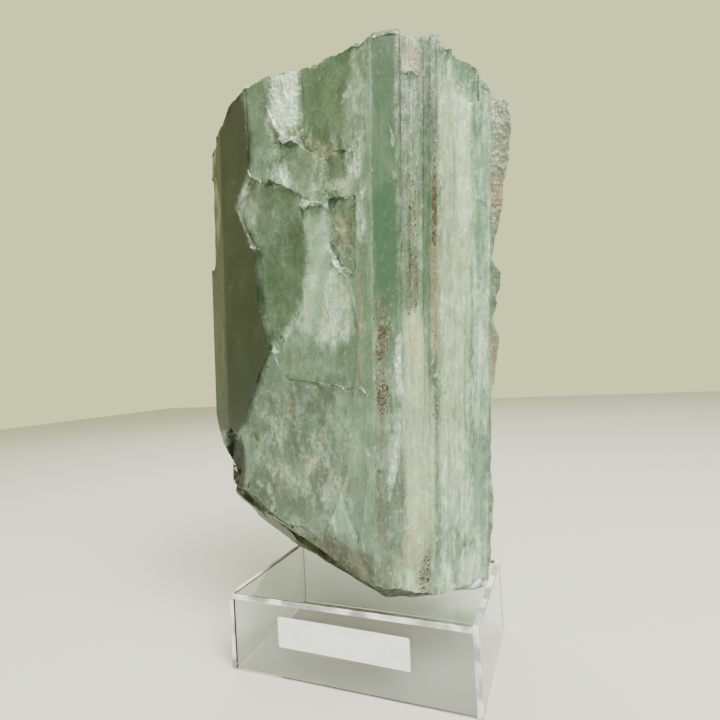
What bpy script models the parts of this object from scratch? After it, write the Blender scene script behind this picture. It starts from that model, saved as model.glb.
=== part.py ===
"""Aquamarine crystal standing on a clear acrylic riser.

The crystal is one hexagonal prism of beryl, grooved along its length by growth
steps. It is broken across the crown, scarred down its front-left face and sheared
off slantwise below, so that only the right half of its foot bears on the riser.
It leans a few degrees to the right and to the front, bedded on a thin pad of putty.
The riser is a five-sided clear box, open below, with a paper label on its front.

All sizes are in millimetres; meshes are made in metres. +X runs to the right along
the riser, +Y to the back and +Z up.
"""

from bisect import bisect_right
from dataclasses import dataclass
from math import cos, radians, sin

import bmesh
import bpy
from mathutils import Euler, Matrix, Vector, noise

MM = 0.001

# Riser
STAND_WIDTH = 100.0
STAND_DEPTH = 60.0
STAND_HEIGHT = 30.0
STAND_WALL = 2.0
SEAM = 0.3                      # gap kept between pieces that touch

# Label on the front wall
LABEL_SIZE = (53.0, 11.6)
LABEL_CENTRE = (-0.6, 17.8)     # along the wall, above the table
LABEL_THICKNESS = 0.25
LABEL_TURN = -0.6               # stuck on a little out of level, in degrees

# Putty pad, and the wedge of it squeezed out at the right corner of the foot
PUTTY_THICKNESS = 1.1
PUTTY_OUTLINE = ((12, -13), (24, -18), (34, -11), (41, -5), (44, 3), (42, 14),
                 (34, 25), (16, 27), (-8, 27), (-28, 24), (-30, 14), (-10, 0))
PUTTY_BEVEL = 0.4

# Crystal: how it stands
FOOT_HEIGHT = STAND_HEIGHT + SEAM + PUTTY_THICKNESS + SEAM
LEAN_FORWARD = 3.9              # degrees
LEAN_RIGHT = 4.4

# Crystal: plan of the prism, counter-clockwise from the front ridge
PRISM_TURN = 48.0               # heading of the front-right face, degrees
RIDGE = (14.94, -33.27)         # where the front ridge meets the foot's level
FRONT_RIGHT_WIDTH = 50.0
RIGHT_WIDTH = 28.0
FRONT_LEFT_WIDTH = 73.0
LEFT_CHAMFER = (12.6, 332.0)    # width and heading of the small corner face
LEFT_WIDTH = 28.0
PRISM_BOTTOM = -14.0
PRISM_TOP = 215.0

# Growth steps on each face: (width of band, recess) from the start of the face
FRONT_RIGHT_BANDS = ((11.3, 0.0), (3.9, 0.5), (6.0, 0.9), (2.6, 1.5), (2.4, 0.9), (8.3, 0.3),
                     (4.6, 0.8), (3.2, 0.2), (7.7, 0.6))
FRONT_LEFT_BANDS = ((22.0, 0.0), (5.0, 0.6), (46.0, 0.0))
BACK_BANDS = ((9.0, 0.0), (4.0, 0.8), (14.0, 0.3), (5.0, 1.1), (11.0, 0.5), (7.0, 0.0),
              (12.0, 0.9), (6.0, 0.4))
SIDE_BANDS = ((8.0, 0.0), (3.5, 0.7), (9.0, 0.2), (7.0, 0.6))
STEP_RUN = 0.35                 # how far a step between bands runs along the face

# Breaking: lumps of a broken surface as (size, weight), and the spread between its patterns
LUMPS = ((9.0, 1.2), (4.0, 0.6))
PATTERN_SPREAD = 7.3

# Scars: how their outlines and walls break
RAGGED_STEP = 8.0
RAGGED_PUSH = 0.8
WALL_FLARE = 0.6                # walls lean out by this much per millimetre
SCAR_LID = 14.0                 # how far a scar's cutter stands off its face
NEAR_CELL = 4.0                 # spacing of a floor's points on the two front faces
BREAK_CELL = 6.0                # on the breaks below
FAR_CELL = 7.0                  # and on the other sides
WELD = 0.01                     # points nearer than this to a dividing line are on it

# Crown: height of the broken top along a line from left to right as seen in front
VIEW_HEADING = 22.0
CROWN_PROFILE = ((-76, 179.0), (-70, 183.0), (-65, 185.4), (-61, 188.0), (-58, 191.5), (-54, 196.5),
                 (-49, 199.5), (-43, 202.0), (-38, 203.0), (-31, 203.2), (-25, 202.4),
                 (-18, 201.4), (-12, 200.0), (-7, 198.8), (0, 198.8), (3, 200.6), (6, 202.2),
                 (12.5, 203.4), (16, 205.4), (20, 206.0), (24, 205.8), (25.4, 203.6),
                 (29, 203.0), (31, 201.0), (38.5, 199.4), (40.5, 195.4), (45, 192.8),
                 (49, 190.6), (52, 187.0), (55, 181.0), (66, 160.0))
CROWN_FALL = 0.07               # lower by this much per millimetre to the back
CROWN_LEVEL = 206.0
CROWN_SIDES = (-30.0, 110.0)    # reach of the break to the front and back
CROWN_CELL = 6.5                # spacing of its points from front to back
CROWN_ROUGH = 0.6
CROWN_LID = 30.0

# Underside: a slanting break that starts on this line across the foot's plane
SHEAR_LINE = ((8.0, -15.0), (-49.0, 27.0))
SHEAR_RISE = 47.0               # degrees
SHEAR_LID = 60.0

# Foot of the left corner: a steeper break, from and to (across, up) on the front-left face
LEFT_FOOT_EDGE = ((66.0, 34.0), (83.0, 70.0))

# Rough rim grown on along the right-hand corner: (up, how far it stands off the right face)
RIM_PROFILE = ((2, 0.3), (14, 0.9), (33, 1.9), (46, 1.0), (75, 0.3), (84, 2.0), (91, 3.2),
               (99, 3.6), (107, 1.0), (114, 1.4), (118, 3.4), (124, 3.4), (129, 0.6), (137, 1.8),
               (147, 4.4), (158, 4.9), (166, 6.4), (177, 7.4), (184, 6.2), (190, 5.2), (196, 4.0))
RIM_ACROSS = (1.0, 13.0)        # from and to, behind the corner
RIM_ROOT = 6.0                  # how deep it is joined to the prism
RIM_UNEVEN = 0.12               # share of its thickness that varies
RIM_LEAST = 0.1                 # it stands off at least this much
RIM_CELL = 4.0


@dataclass(frozen=True)
class Face:
    """A flat working face of the crystal: points on it are (across, up, depth)."""

    origin: Vector
    across: Vector
    up: Vector
    out: Vector

    def point(self, across, up, depth=0.0):
        return self.origin + self.across * across + self.up * up - self.out * depth


@dataclass(frozen=True)
class Scar:
    """A flake or hollow broken out of a face, inside a straight-sided outline."""

    face: str
    outline: tuple
    depth: float                # at the middle of the outline
    tilt: tuple = (0.0, 0.0)    # deeper by this much per millimetre across and up
    bowl: float = 0.0           # further depth at the middle, fading to the edge
    rough: float = 0.3
    cell: float = NEAR_CELL

    def middle(self):
        lows = [min(point[axis] for point in self.outline) for axis in (0, 1)]
        highs = [max(point[axis] for point in self.outline) for axis in (0, 1)]
        half = [(high - low) / 2 for low, high in zip(lows, highs)]
        return [low + size for low, size in zip(lows, half)], half

    def floor(self, across, up):
        (middle_across, middle_up), (half_across, half_up) = self.middle()
        from_middle = (across - middle_across, up - middle_up)
        reach = (from_middle[0] / half_across) ** 2 + (from_middle[1] / half_up) ** 2
        dished = self.bowl * max(0.0, 1.0 - reach)
        sloped = self.tilt[0] * from_middle[0] + self.tilt[1] * from_middle[1]
        return self.depth + sloped + dished + self.rough * crumble(across, up, self.depth)


def heading(degrees, length=1.0):
    """A level vector of the given length, its heading counted from +X towards +Y."""
    return Vector((cos(radians(degrees)), sin(radians(degrees)), 0.0)) * length


def crumble(across, up, seed):
    """Unevenness between about -1 and 1; each seed has its own pattern."""
    return sum(weight * noise.noise(Vector((across / size, up / size,
                                            seed * PATTERN_SPREAD + size)))
               for size, weight in LUMPS)


def prism_corners():
    """The seven corners of the prism's plan, counter-clockwise from the front ridge."""
    ridge = Vector((*RIDGE, 0.0))
    right = ridge + heading(PRISM_TURN, FRONT_RIGHT_WIDTH)
    back_right = right + heading(PRISM_TURN + 60, RIGHT_WIDTH)
    left = ridge - heading(PRISM_TURN - 60, FRONT_LEFT_WIDTH)
    chamfer = left - heading(LEFT_CHAMFER[1], LEFT_CHAMFER[0])
    back_left = chamfer - heading(PRISM_TURN + 240, LEFT_WIDTH)
    back = crossing(back_right, heading(PRISM_TURN + 120), back_left, heading(PRISM_TURN))
    return [ridge, right, back_right, back, back_left, chamfer, left]


def crossing(start, along, other_start, other_along):
    """Where two level lines cross."""
    gap = other_start - start
    turn = along.x * other_along.y - along.y * other_along.x
    return start + along * ((gap.x * other_along.y - gap.y * other_along.x) / turn)


def banded_edge(start, end, bands):
    """Points from start to end with each band set back by its recess."""
    run = end - start
    along = run.normalized()
    inward = Vector((-along.y, along.x, 0.0))
    scale = run.length / sum(width for width, _ in bands)
    points = []
    reached = 0.0
    for width, recess in bands:
        points.append(start + along * (reached + STEP_RUN) + inward * recess)
        reached += width * scale
        points.append(start + along * (reached - STEP_RUN) + inward * recess)
    return points


def crystal_faces():
    """The working faces that scars are cut from, by name."""
    ridge, right, back_right, back, back_left, chamfer, left = prism_corners()
    up = Vector((0.0, 0.0, 1.0))

    def upright(start, towards):
        across = (towards - start).normalized()
        out = across.cross(up)
        if out.dot(start - (ridge + back) / 2) < 0:
            out = -out
        return Face(start, across, up, out)

    view = heading(VIEW_HEADING)
    crown = Face(ridge + up * CROWN_LEVEL, view, heading(VIEW_HEADING + 90), up)
    return {
        "front_right": upright(ridge, right),
        "front_left": upright(ridge, left),
        "corner": upright(left, chamfer),
        "left": upright(chamfer, back_left),
        "back_left": upright(back_left, back),
        "back": upright(back, back_right),
        "right": upright(right, back_right),
        "crown": crown,
        "shear": shear_face(),
        "left_foot": left_foot_face(upright(ridge, left)),
    }


def lean():
    return Euler((radians(LEAN_FORWARD), radians(LEAN_RIGHT), 0.0)).to_matrix()


def shear_face():
    """The slanting break's plane, brought from the riser's level into the crystal's lean."""
    start, end = (Vector((*point, 0.0)) for point in SHEAR_LINE)
    across = (end - start).normalized()
    outward = Vector((across.y, -across.x, 0.0))
    if outward.y > 0:
        outward = -outward
    rise = radians(SHEAR_RISE)
    up = outward * cos(rise) + Vector((0.0, 0.0, sin(rise)))
    out = outward * sin(rise) - Vector((0.0, 0.0, cos(rise)))
    back = lean().transposed()
    return Face(back @ start, back @ across, back @ up, back @ out)


def left_foot_face(front_left):
    """The plane that the foot of the left corner broke off on, seen edge-on from the front."""
    start, end = (front_left.point(*place) for place in LEFT_FOOT_EDGE)
    up = (end - start).normalized()
    across = heading(VIEW_HEADING + 90)
    out = across.cross(up).normalized()
    if out.z > 0:
        out = -out
    return Face(start, up.cross(out), up, out)


FACES = crystal_faces()

BREAKS = ("shear", "left_foot")     # faces that are whole breaks, cut away to a high lid

SCARS = {
    # front-left face: the hollow beside the ridge, from the top down
    "dark_groove": Scar("front_left", ((4, 214), (36, 214), (37, 178), (33, 171), (26, 167),
                                       (13, 161), (7, 164), (5, 184)), 3.6, (0.21, 0.0), 0.0, 0.2),
    "bright_bowl": Scar("front_left", ((35, 214), (50, 214), (49, 190), (45, 181), (39, 176),
                                       (34, 177)), 4.2, (-0.36, 0.0), 0.8, 0.5),
    "upper_facet": Scar("front_left", ((44, 214), (60, 214), (58, 190), (57.5, 166), (50, 162),
                                       (43, 164), (41, 180)), 1.6, (-0.12, 0.0), 0.0, 0.15),
    "middle_facet": Scar("front_left", ((26, 169), (34, 172), (42, 173), (44, 167), (40, 155),
                                        (29, 151), (25, 157)), 4.4, (-0.10, -0.03), 0.3, 0.3),
    "bright_step": Scar("front_left", ((40, 170), (46, 169), (45, 158), (39, 157)), 3.2,
                        (-0.30, 0.0), 0.0, 0.3),
    "crumbly_band": Scar("front_left", ((1.2, 214), (8, 214), (11, 180), (10, 152), (5, 150),
                                        (2, 166)), 0.9, (0.1, 0.0), 0.3, 0.5),
    "stained_facet": Scar("front_left", ((8, 163), (17, 166), (27, 168), (31, 158), (30, 152),
                                         (22, 149), (8, 150)), 3.0, (0.07, 0.05), 0.3, 0.5),
    "large_hollow": Scar("front_left", ((34, 153), (43, 158), (56, 161), (64, 151), (60, 142),
                                        (54.5, 135), (53.5, 114), (48, 98), (44, 96), (38, 104),
                                        (33, 112), (32, 138)), 3.1, (-0.18, 0.022), 1.0, 0.2),
    "tongue": Scar("front_left", ((19, 147), (31, 147), (33, 120), (38, 108), (48, 102), (46, 92),
                                  (42, 84), (8, 83), (6.5, 104), (11, 120), (18, 132)),
                   1.6, (-0.01, 0.0), 0.3, 0.15),
    "brown_pocket": Scar("front_left", ((7, 148), (20, 149), (21, 135), (15, 127), (7, 125)), 3.4,
                         (0.10, 0.0), 1.0, 0.5),
    # front-left face: the veiled slope below, and its smaller facets
    "veiled_slope": Scar("front_left", ((9, 82), (24, 83), (40, 84), (47, 96), (53, 88), (59, 76),
                                        (63, 64), (68, 48), (72, 24), (40, 2), (22, 30), (14, 50)),
                         2.2, (-0.045, -0.022), 0.9, 0.45),
    "green_facet": Scar("front_left", ((3, 81), (12, 84.5), (16, 66), (17, 52), (14, 40),
                                       (7, 27), (4, 46)), 1.3, (0.07, -0.012), 0.3, 0.3),
    "blue_facet": Scar("front_left", ((47, 40), (54, 41), (61, 43), (65, 36), (62, 27), (51, 22)),
                       3.2, (0.02, -0.22), 0.0, 0.2),
    "lower_notch": Scar("front_left", ((68, 57), (72, 60), (77, 54), (77, 46), (72, 40), (68, 44)),
                        5.0, (0.05, 0.0), 1.2, 0.4),
    "ridge_base": Scar("front_left", ((1, 20), (8, 25), (24, 27), (42, 25), (48, 12), (10, -8),
                                      (1, -8)), 7.2, (0.16, -0.30), 0.0, 0.6),
    # left corner
    "corner_nick": Scar("corner", ((5, 166), (18, 168), (18, 130), (9, 131), (4, 141), (2, 152)),
                        2.1, (0.18, 0.0), 0.5, 0.7),
    "corner_top": Scar("corner", ((4, 192), (18, 192), (18, 163), (8, 164), (5, 176)), 2.0,
                       (0.18, 0.0), 0.3, 0.7),
    "corner_foot": Scar("left_foot", ((-30, -30), (60, -30), (60, 60), (-30, 60)), 0.4,
                        (0.0, 0.0), -2.4, 0.7, BREAK_CELL),
    # underside
    "shear": Scar("shear", ((-70, -30), (110, -30), (110, 110), (-70, 110)), -0.9, (-0.012, 0.0),
                  0.0, 0.9, BREAK_CELL),
    "shear_ledge_low": Scar("shear", ((6, 6), (30, 4), (52, 12), (50, 26), (22, 22), (4, 18)),
                            1.6, (0.0, 0.05), 0.6, 0.4),
    "shear_ledge_high": Scar("shear", ((30, 34), (66, 30), (84, 46), (70, 62), (38, 52)),
                             0.8, (0.03, 0.0), 0.8, 0.5),
    # front-right face
    "crown_flake": Scar("front_right", ((11.4, 214), (20, 214), (20, 191), (12, 190)), 1.1,
                        (0.0, 0.01), 0.0, 0.15),
    "crown_step": Scar("front_right", ((33, 214), (46, 214), (45, 186), (38, 184), (33, 187)), 1.4,
                       (0.02, 0.0), 0.3, 0.4),
    "foot_chip": Scar("front_right", ((-6, 15), (0, 12.9), (24, 4.4), (28, -8), (-6, -8)), 7.5,
                      (-0.40, -1.13), 0.0, 0.4),
    # the far side
    "back_hollow": Scar("back", ((22, 216), (64, 216), (58, 160), (44, 138), (26, 152)), 4.5,
                        (0.0, 0.05), 3.0, 0.6, FAR_CELL),
    "back_flake": Scar("back", ((4, 84), (26, 92), (34, 60), (22, 34), (6, 44)), 2.2,
                       (-0.04, 0.0), 1.5, 0.5, FAR_CELL),
    "back_foot": Scar("back", ((30, 30), (84, 34), (88, -20), (30, -20)), 6.0, (0.0, -0.22), 0.0,
                      0.7, FAR_CELL),
    "back_left_flake": Scar("back_left", ((8, 150), (34, 160), (40, 118), (24, 96), (6, 112)),
                            2.8, (0.03, 0.0), 1.8, 0.5, FAR_CELL),
    "right_step": Scar("right", ((14, 216), (32, 216), (32, 128), (15, 132)), 1.6, (0.0, 0.0),
                       0.0, 0.3, FAR_CELL),
}


def along_profile(profile, station):
    """Height at a station on a profile of straight runs."""
    stations = [place for place, _ in profile]
    index = min(max(bisect_right(stations, station) - 1, 0), len(stations) - 2)
    (start, low), (end, high) = profile[index], profile[index + 1]
    return low + (high - low) * (station - start) / (end - start)


def crown_floor(across, up):
    """Depth of the crown's break below its working level."""
    height = along_profile(CROWN_PROFILE, across) - CROWN_FALL * max(0.0, up)
    return CROWN_LEVEL - height + CROWN_ROUGH * crumble(across, up, 3.0)


def foot_cutter():
    """A block whose top is level with the riser, cutting the foot flat under the lean."""
    lowered = Matrix.Translation((0.0, 0.0, -PRISM_TOP))
    bm = bmesh.new()
    bmesh.ops.create_cube(bm, size=2 * PRISM_TOP)
    bmesh.ops.transform(bm, matrix=lean().transposed().to_4x4() @ lowered, verts=bm.verts)
    return bm


def facing_out(bm):
    """Turn a closed mesh's faces outwards."""
    bmesh.ops.recalc_face_normals(bm, faces=bm.faces[:])
    if bm.calc_volume(signed=True) < 0:
        bmesh.ops.reverse_faces(bm, faces=bm.faces[:])
    return bm


def ragged(outline, seed):
    """The outline with further points between its corners, pushed in and out by the breaking."""
    points = []
    for start, end in zip(outline, outline[1:] + outline[:1]):
        run = (end[0] - start[0], end[1] - start[1])
        length = (run[0] ** 2 + run[1] ** 2) ** 0.5
        count = max(1, round(length / RAGGED_STEP))
        points.append(start)
        for index in range(1, count):
            across = start[0] + run[0] * index / count
            up = start[1] + run[1] * index / count
            push = RAGGED_PUSH * crumble(across, up, seed)
            points.append((across - push * run[1] / length, up + push * run[0] / length))
    return points


def evenly(outline, axis, cell):
    """Places about a cell apart along one axis of an outline, without its ends."""
    low = min(point[axis] for point in outline)
    high = max(point[axis] for point in outline)
    count = max(1, round((high - low) / cell))
    return [low + (high - low) * index / count for index in range(1, count)]


def patch_cutter(face, outline, floor, lines, lid, flare=0.0):
    """A block with the given outline on a face, its floor sunk to floor(across, up).

    The floor has its points on the given lines across and up. The lid stands off the face
    by lid, and the walls lean outwards by flare per millimetre.
    """
    bm = bmesh.new()
    bm.faces.new([bm.verts.new((across, up, 0.0)) for across, up in outline])
    middle = sum((Vector(point) for point in outline), Vector((0.0, 0.0))) / len(outline)
    for normal, stations in zip((Vector((1.0, 0.0, 0.0)), Vector((0.0, 1.0, 0.0))), lines):
        for station in stations:
            bmesh.ops.bisect_plane(bm, geom=bm.verts[:] + bm.edges[:] + bm.faces[:],
                                   plane_co=normal * station, plane_no=normal, dist=WELD)
    bmesh.ops.triangulate(bm, faces=bm.faces[:])
    floor_vertices = bm.verts[:]
    lid_parts = bmesh.ops.extrude_face_region(bm, geom=bm.faces[:], use_keep_orig=True)["geom"]
    lid_vertices = [part for part in lid_parts if isinstance(part, bmesh.types.BMVert)]
    for vertex in floor_vertices:
        across, up = vertex.co.x, vertex.co.y
        vertex.co = face.point(across, up, floor(across, up))
    for vertex in lid_vertices:
        place = vertex.co.xy
        outwards = (place - middle).normalized() * (flare * lid)
        vertex.co = face.point(place.x + outwards.x, place.y + outwards.y, -lid)
    return facing_out(bm)


def add_object(name, bm, parent, material=None):
    """Turn a mesh drawn in millimetres into an object in metres."""
    bmesh.ops.scale(bm, vec=(MM, MM, MM), verts=bm.verts)
    mesh = bpy.data.meshes.new(name)
    bm.to_mesh(mesh)
    bm.free()
    thing = bpy.data.objects.new(name, mesh)
    bpy.context.scene.collection.objects.link(thing)
    thing.parent = parent
    if material:
        mesh.materials.append(material)
    return thing


def add_boolean(target, cutter, operation="DIFFERENCE"):
    """Cut a target with another object, or join that object to it."""
    cutter.hide_render = True
    cutter.display_type = "WIRE"
    modifier = target.modifiers.new(cutter.name, "BOOLEAN")
    modifier.operation = operation
    modifier.solver = "EXACT"
    modifier.object = cutter


def extruded(points, bottom, top):
    """A closed upright block over an outline given counter-clockwise."""
    bm = bmesh.new()
    base = bm.faces.new([bm.verts.new((point[0], point[1], bottom)) for point in points])
    lid = bmesh.ops.extrude_face_region(bm, geom=[base], use_keep_orig=True)["geom"]
    for part in lid:
        if isinstance(part, bmesh.types.BMVert):
            part.co.z = top
    return facing_out(bm)


def make_material(name, colour, roughness, alpha=1.0, transmission=0.0):
    material = bpy.data.materials.new(name)
    material.use_nodes = True
    shader = material.node_tree.nodes["Principled BSDF"]
    shader.inputs["Base Color"].default_value = (*colour, 1.0)
    shader.inputs["Roughness"].default_value = roughness
    shader.inputs["Metallic"].default_value = 0.0
    shader.inputs["Alpha"].default_value = alpha
    shader.inputs["Transmission Weight"].default_value = transmission
    return material


def make_prism(parent, material):
    """The whole crystal before anything broke off it."""
    corners = prism_corners()
    bands = [FRONT_RIGHT_BANDS, SIDE_BANDS, BACK_BANDS, BACK_BANDS, SIDE_BANDS,
             ((1.0, 0.0),), tuple(reversed(FRONT_LEFT_BANDS))]
    outline = []
    for start, end, edge_bands in zip(corners, corners[1:] + corners[:1], bands):
        outline += banded_edge(start, end, edge_bands)
    return add_object("aquamarine_crystal", extruded(outline, PRISM_BOTTOM, PRISM_TOP),
                      parent, material)


def rim_floor(across, up):
    """The rim's outer surface, as a negative depth below the right face."""
    proud = along_profile(RIM_PROFILE, up)
    near, far = RIM_ACROSS
    fade = 1.0 - ((across - near) / (far - near)) ** 2
    return -proud * fade * (1.0 + RIM_UNEVEN * crumble(across, up, 5.0)) - RIM_LEAST


def add_rim(crystal, parent):
    """Join on the rough rim along the right-hand corner."""
    low, high = RIM_PROFILE[0][0], RIM_PROFILE[-1][0]
    near, far = RIM_ACROSS
    outline = ((near, low), (far, low), (far, high), (near, high))
    lines = (evenly(outline, 0, RIM_CELL), [height for height, _ in RIM_PROFILE[1:-1]])
    rim = patch_cutter(FACES["right"], outline, rim_floor, lines, -RIM_ROOT)
    add_boolean(crystal, add_object("right_rim", rim, parent), "UNION")


def add_crown(crystal, parent):
    """Break the top off along the crown's profile."""
    left, right = CROWN_PROFILE[0][0], CROWN_PROFILE[-1][0]
    front, back = CROWN_SIDES
    outline = ((left, front), (right, front), (right, back), (left, back))
    lines = ([station for station, _ in CROWN_PROFILE[1:-1]], evenly(outline, 1, CROWN_CELL))
    crown = patch_cutter(FACES["crown"], outline, crown_floor, lines, CROWN_LID)
    add_boolean(crystal, add_object("crown_break", crown, parent))


def make_crystal(root, material):
    """The prism with its crown, scars, slanting break and flat foot cut."""
    leaning = bpy.data.objects.new("crystal_lean", None)
    bpy.context.scene.collection.objects.link(leaning)
    leaning.parent = root
    leaning.location = (0.0, 0.0, FOOT_HEIGHT * MM)
    leaning.rotation_euler = (radians(LEAN_FORWARD), radians(LEAN_RIGHT), 0.0)

    crystal = make_prism(leaning, material)
    add_rim(crystal, leaning)
    add_crown(crystal, leaning)
    for name, scar in SCARS.items():
        lid, flare = (SHEAR_LID, 0.0) if scar.face in BREAKS else (SCAR_LID, WALL_FLARE)
        outline = ragged(scar.outline, scar.depth)
        lines = [evenly(outline, axis, scar.cell) for axis in (0, 1)]
        cutter = patch_cutter(FACES[scar.face], outline, scar.floor, lines, lid, flare)
        add_boolean(crystal, add_object(name, cutter, leaning))
    add_boolean(crystal, add_object("foot_cut", foot_cutter(), leaning))
    return crystal


def make_plate(name, root, material, low, high):
    """A flat acrylic plate between two opposite corners."""
    outline = ((low[0], low[1]), (high[0], low[1]), (high[0], high[1]), (low[0], high[1]))
    return add_object(name, extruded(outline, low[2], high[2]), root, material)


def make_stand(root, material):
    """Five plates: two end walls, and between them the top, front and back."""
    half_width, half_depth = STAND_WIDTH / 2, STAND_DEPTH / 2
    inner = half_width - STAND_WALL - SEAM
    under_top = STAND_HEIGHT - STAND_WALL - SEAM
    for side, name in ((-1, "stand_left_plate"), (1, "stand_right_plate")):
        ends = sorted((side * half_width, side * (half_width - STAND_WALL)))
        make_plate(name, root, material, (ends[0], -half_depth, 0.0),
                   (ends[1], half_depth, STAND_HEIGHT))
    make_plate("stand_top_plate", root, material,
               (-inner, -half_depth, STAND_HEIGHT - STAND_WALL), (inner, half_depth, STAND_HEIGHT))
    make_plate("stand_front_plate", root, material,
               (-inner, -half_depth, 0.0), (inner, STAND_WALL - half_depth, under_top))
    make_plate("stand_back_plate", root, material,
               (-inner, half_depth - STAND_WALL, 0.0), (inner, half_depth, under_top))


def make_label(root, material):
    """A strip of paper stuck flat on the front wall."""
    width, height = LABEL_SIZE
    bm = bmesh.new()
    bmesh.ops.create_cube(bm, size=1.0)
    bmesh.ops.scale(bm, vec=(width, LABEL_THICKNESS, height), verts=bm.verts)
    label = add_object("paper_label", bm, root, material)
    in_front = STAND_DEPTH / 2 + SEAM + LABEL_THICKNESS / 2
    label.location = (LABEL_CENTRE[0] * MM, -in_front * MM, LABEL_CENTRE[1] * MM)
    label.rotation_euler = (0.0, -radians(LABEL_TURN), 0.0)
    return label


def make_putty(root, material):
    """A pressed pad of putty between the riser and the crystal's foot."""
    bottom = STAND_HEIGHT + SEAM
    putty = add_object("mounting_putty", extruded(PUTTY_OUTLINE, bottom, bottom + PUTTY_THICKNESS),
                       root, material)
    bevel = putty.modifiers.new("pressed_edge", "BEVEL")
    bevel.width = PUTTY_BEVEL * MM
    bevel.segments = 1
    bevel.limit_method = "ANGLE"
    return putty


def centre_on_origin(root):
    """Move the whole part so that its box's bottom centre is the origin."""
    bpy.context.view_layer.update()
    depsgraph = bpy.context.evaluated_depsgraph_get()
    corners = []
    for thing in bpy.context.scene.objects:
        if thing.type == "MESH" and not thing.hide_render:
            solid = thing.evaluated_get(depsgraph)
            corners += [solid.matrix_world @ vertex.co for vertex in solid.data.vertices]
    lows = [min(corner[axis] for corner in corners) for axis in (0, 1, 2)]
    highs = [max(corner[axis] for corner in corners) for axis in (0, 1, 2)]
    root.location = (-(lows[0] + highs[0]) / 2, -(lows[1] + highs[1]) / 2, -lows[2])


def main():
    for thing in list(bpy.data.objects):
        bpy.data.objects.remove(thing, do_unlink=True)
    root = bpy.data.objects.new("specimen", None)
    bpy.context.scene.collection.objects.link(root)
    beryl = make_material("beryl", (0.34, 0.48, 0.36), 0.35)
    acrylic = make_material("clear_acrylic", (0.90, 0.93, 0.92), 0.05, 0.35, 1.0)
    paper = make_material("white_paper", (0.72, 0.74, 0.80), 0.8)
    putty = make_material("grey_putty", (0.36, 0.37, 0.43), 0.7)
    make_stand(root, acrylic)
    make_label(root, paper)
    make_putty(root, putty)
    make_crystal(root, beryl)
    centre_on_origin(root)


main()
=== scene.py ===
"""Looks of an aquamarine crystal on a clear acrylic riser: meshes, finishes, light and camera.

The crystal is painted and roughened in its own frame. There "up" runs along the prism
and "across" runs over a prism face from the front ridge, both in millimetres.
"""

import logging
from collections.abc import Callable
from dataclasses import dataclass, field
from enum import Enum
from math import cos, radians, sin

import bmesh
import bpy
import numpy as np
from mathutils import Euler, Matrix, Vector, noise


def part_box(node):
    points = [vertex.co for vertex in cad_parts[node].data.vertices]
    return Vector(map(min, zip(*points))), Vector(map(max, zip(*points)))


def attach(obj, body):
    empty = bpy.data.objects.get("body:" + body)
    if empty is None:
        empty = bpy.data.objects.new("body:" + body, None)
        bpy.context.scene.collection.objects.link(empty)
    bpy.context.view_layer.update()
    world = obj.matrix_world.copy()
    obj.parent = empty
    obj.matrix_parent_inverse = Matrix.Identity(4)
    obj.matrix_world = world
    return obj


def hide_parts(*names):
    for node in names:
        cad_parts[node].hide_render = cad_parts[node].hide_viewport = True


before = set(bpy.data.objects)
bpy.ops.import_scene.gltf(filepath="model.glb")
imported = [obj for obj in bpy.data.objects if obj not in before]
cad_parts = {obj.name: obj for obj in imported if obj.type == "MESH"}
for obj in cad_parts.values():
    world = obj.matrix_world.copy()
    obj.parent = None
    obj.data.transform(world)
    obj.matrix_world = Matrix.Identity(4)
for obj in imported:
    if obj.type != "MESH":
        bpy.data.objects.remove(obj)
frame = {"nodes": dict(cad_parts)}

log = logging.getLogger("specimen")
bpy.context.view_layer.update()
BODY = "root"
MM = 0.001

# mathutils shifts its noise vectors by a seed, which would otherwise differ each run
NOISE_SEED = 5
noise.seed_set(NOISE_SEED)

# The crystal's lean on the riser, in degrees, and the level of its foot's plane
LEAN_FORWARD = 3.9
LEAN_RIGHT = 4.4
LEAN = (radians(LEAN_FORWARD), radians(LEAN_RIGHT), 0.0)
FOOT_LEVEL = 31.7
GROWTH = "growth"               # UV layer: how far round the prism and how far up
UV_UNIT = 100.0                 # one unit of it, mm

# Plan of the prism: the front ridge, headings (degrees) and widths (mm) of its faces
RIDGE = (14.94, -33.27)
PLAN = (("front_right", 48.0, 50.0), ("right", 108.0, 28.0), ("back", 168.0, 87.1),
        ("back_left", 228.0, 46.0), ("left", 288.0, 28.0), ("corner", 332.0, 12.6),
        ("front_left", 348.0, 73.0))

# Where the camera stands from the middle of the riser's base, mm. Features that stand proud
# of a face, or lie behind it, are painted where they line up with it from here.
EYE = (81.447, -197.252, 117.429)


# ---------------------------------------------------------------- colours, pieces and nodes

def linear(colour: str, alpha: float = 1.0) -> tuple[float, float, float, float]:
    """Turn an sRGB hex colour into the linear colour that shaders take.

    Args:
        colour: six hex digits, such as "8FA68E".
        alpha: opacity to add.

    Returns:
        Red, green, blue and alpha.
    """
    channels = []
    for index in (0, 2, 4):
        value = int(colour[index:index + 2], 16) / 255
        channels.append(value / 12.92 if value <= 0.04045 else ((value + 0.055) / 1.055) ** 2.4)
    return (*channels, alpha)


def shown(name: str, mesh: bpy.types.Mesh,
          *finishes: bpy.types.Material) -> bpy.types.Object:
    """Put a mesh into the scene.

    Args:
        name: the object's name.
        mesh: its mesh.
        *finishes: materials to add to the mesh.

    Returns:
        The new object.
    """
    piece = bpy.data.objects.new(name, mesh)
    bpy.context.scene.collection.objects.link(piece)
    for finish in finishes:
        mesh.materials.append(finish)
    return piece


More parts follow.
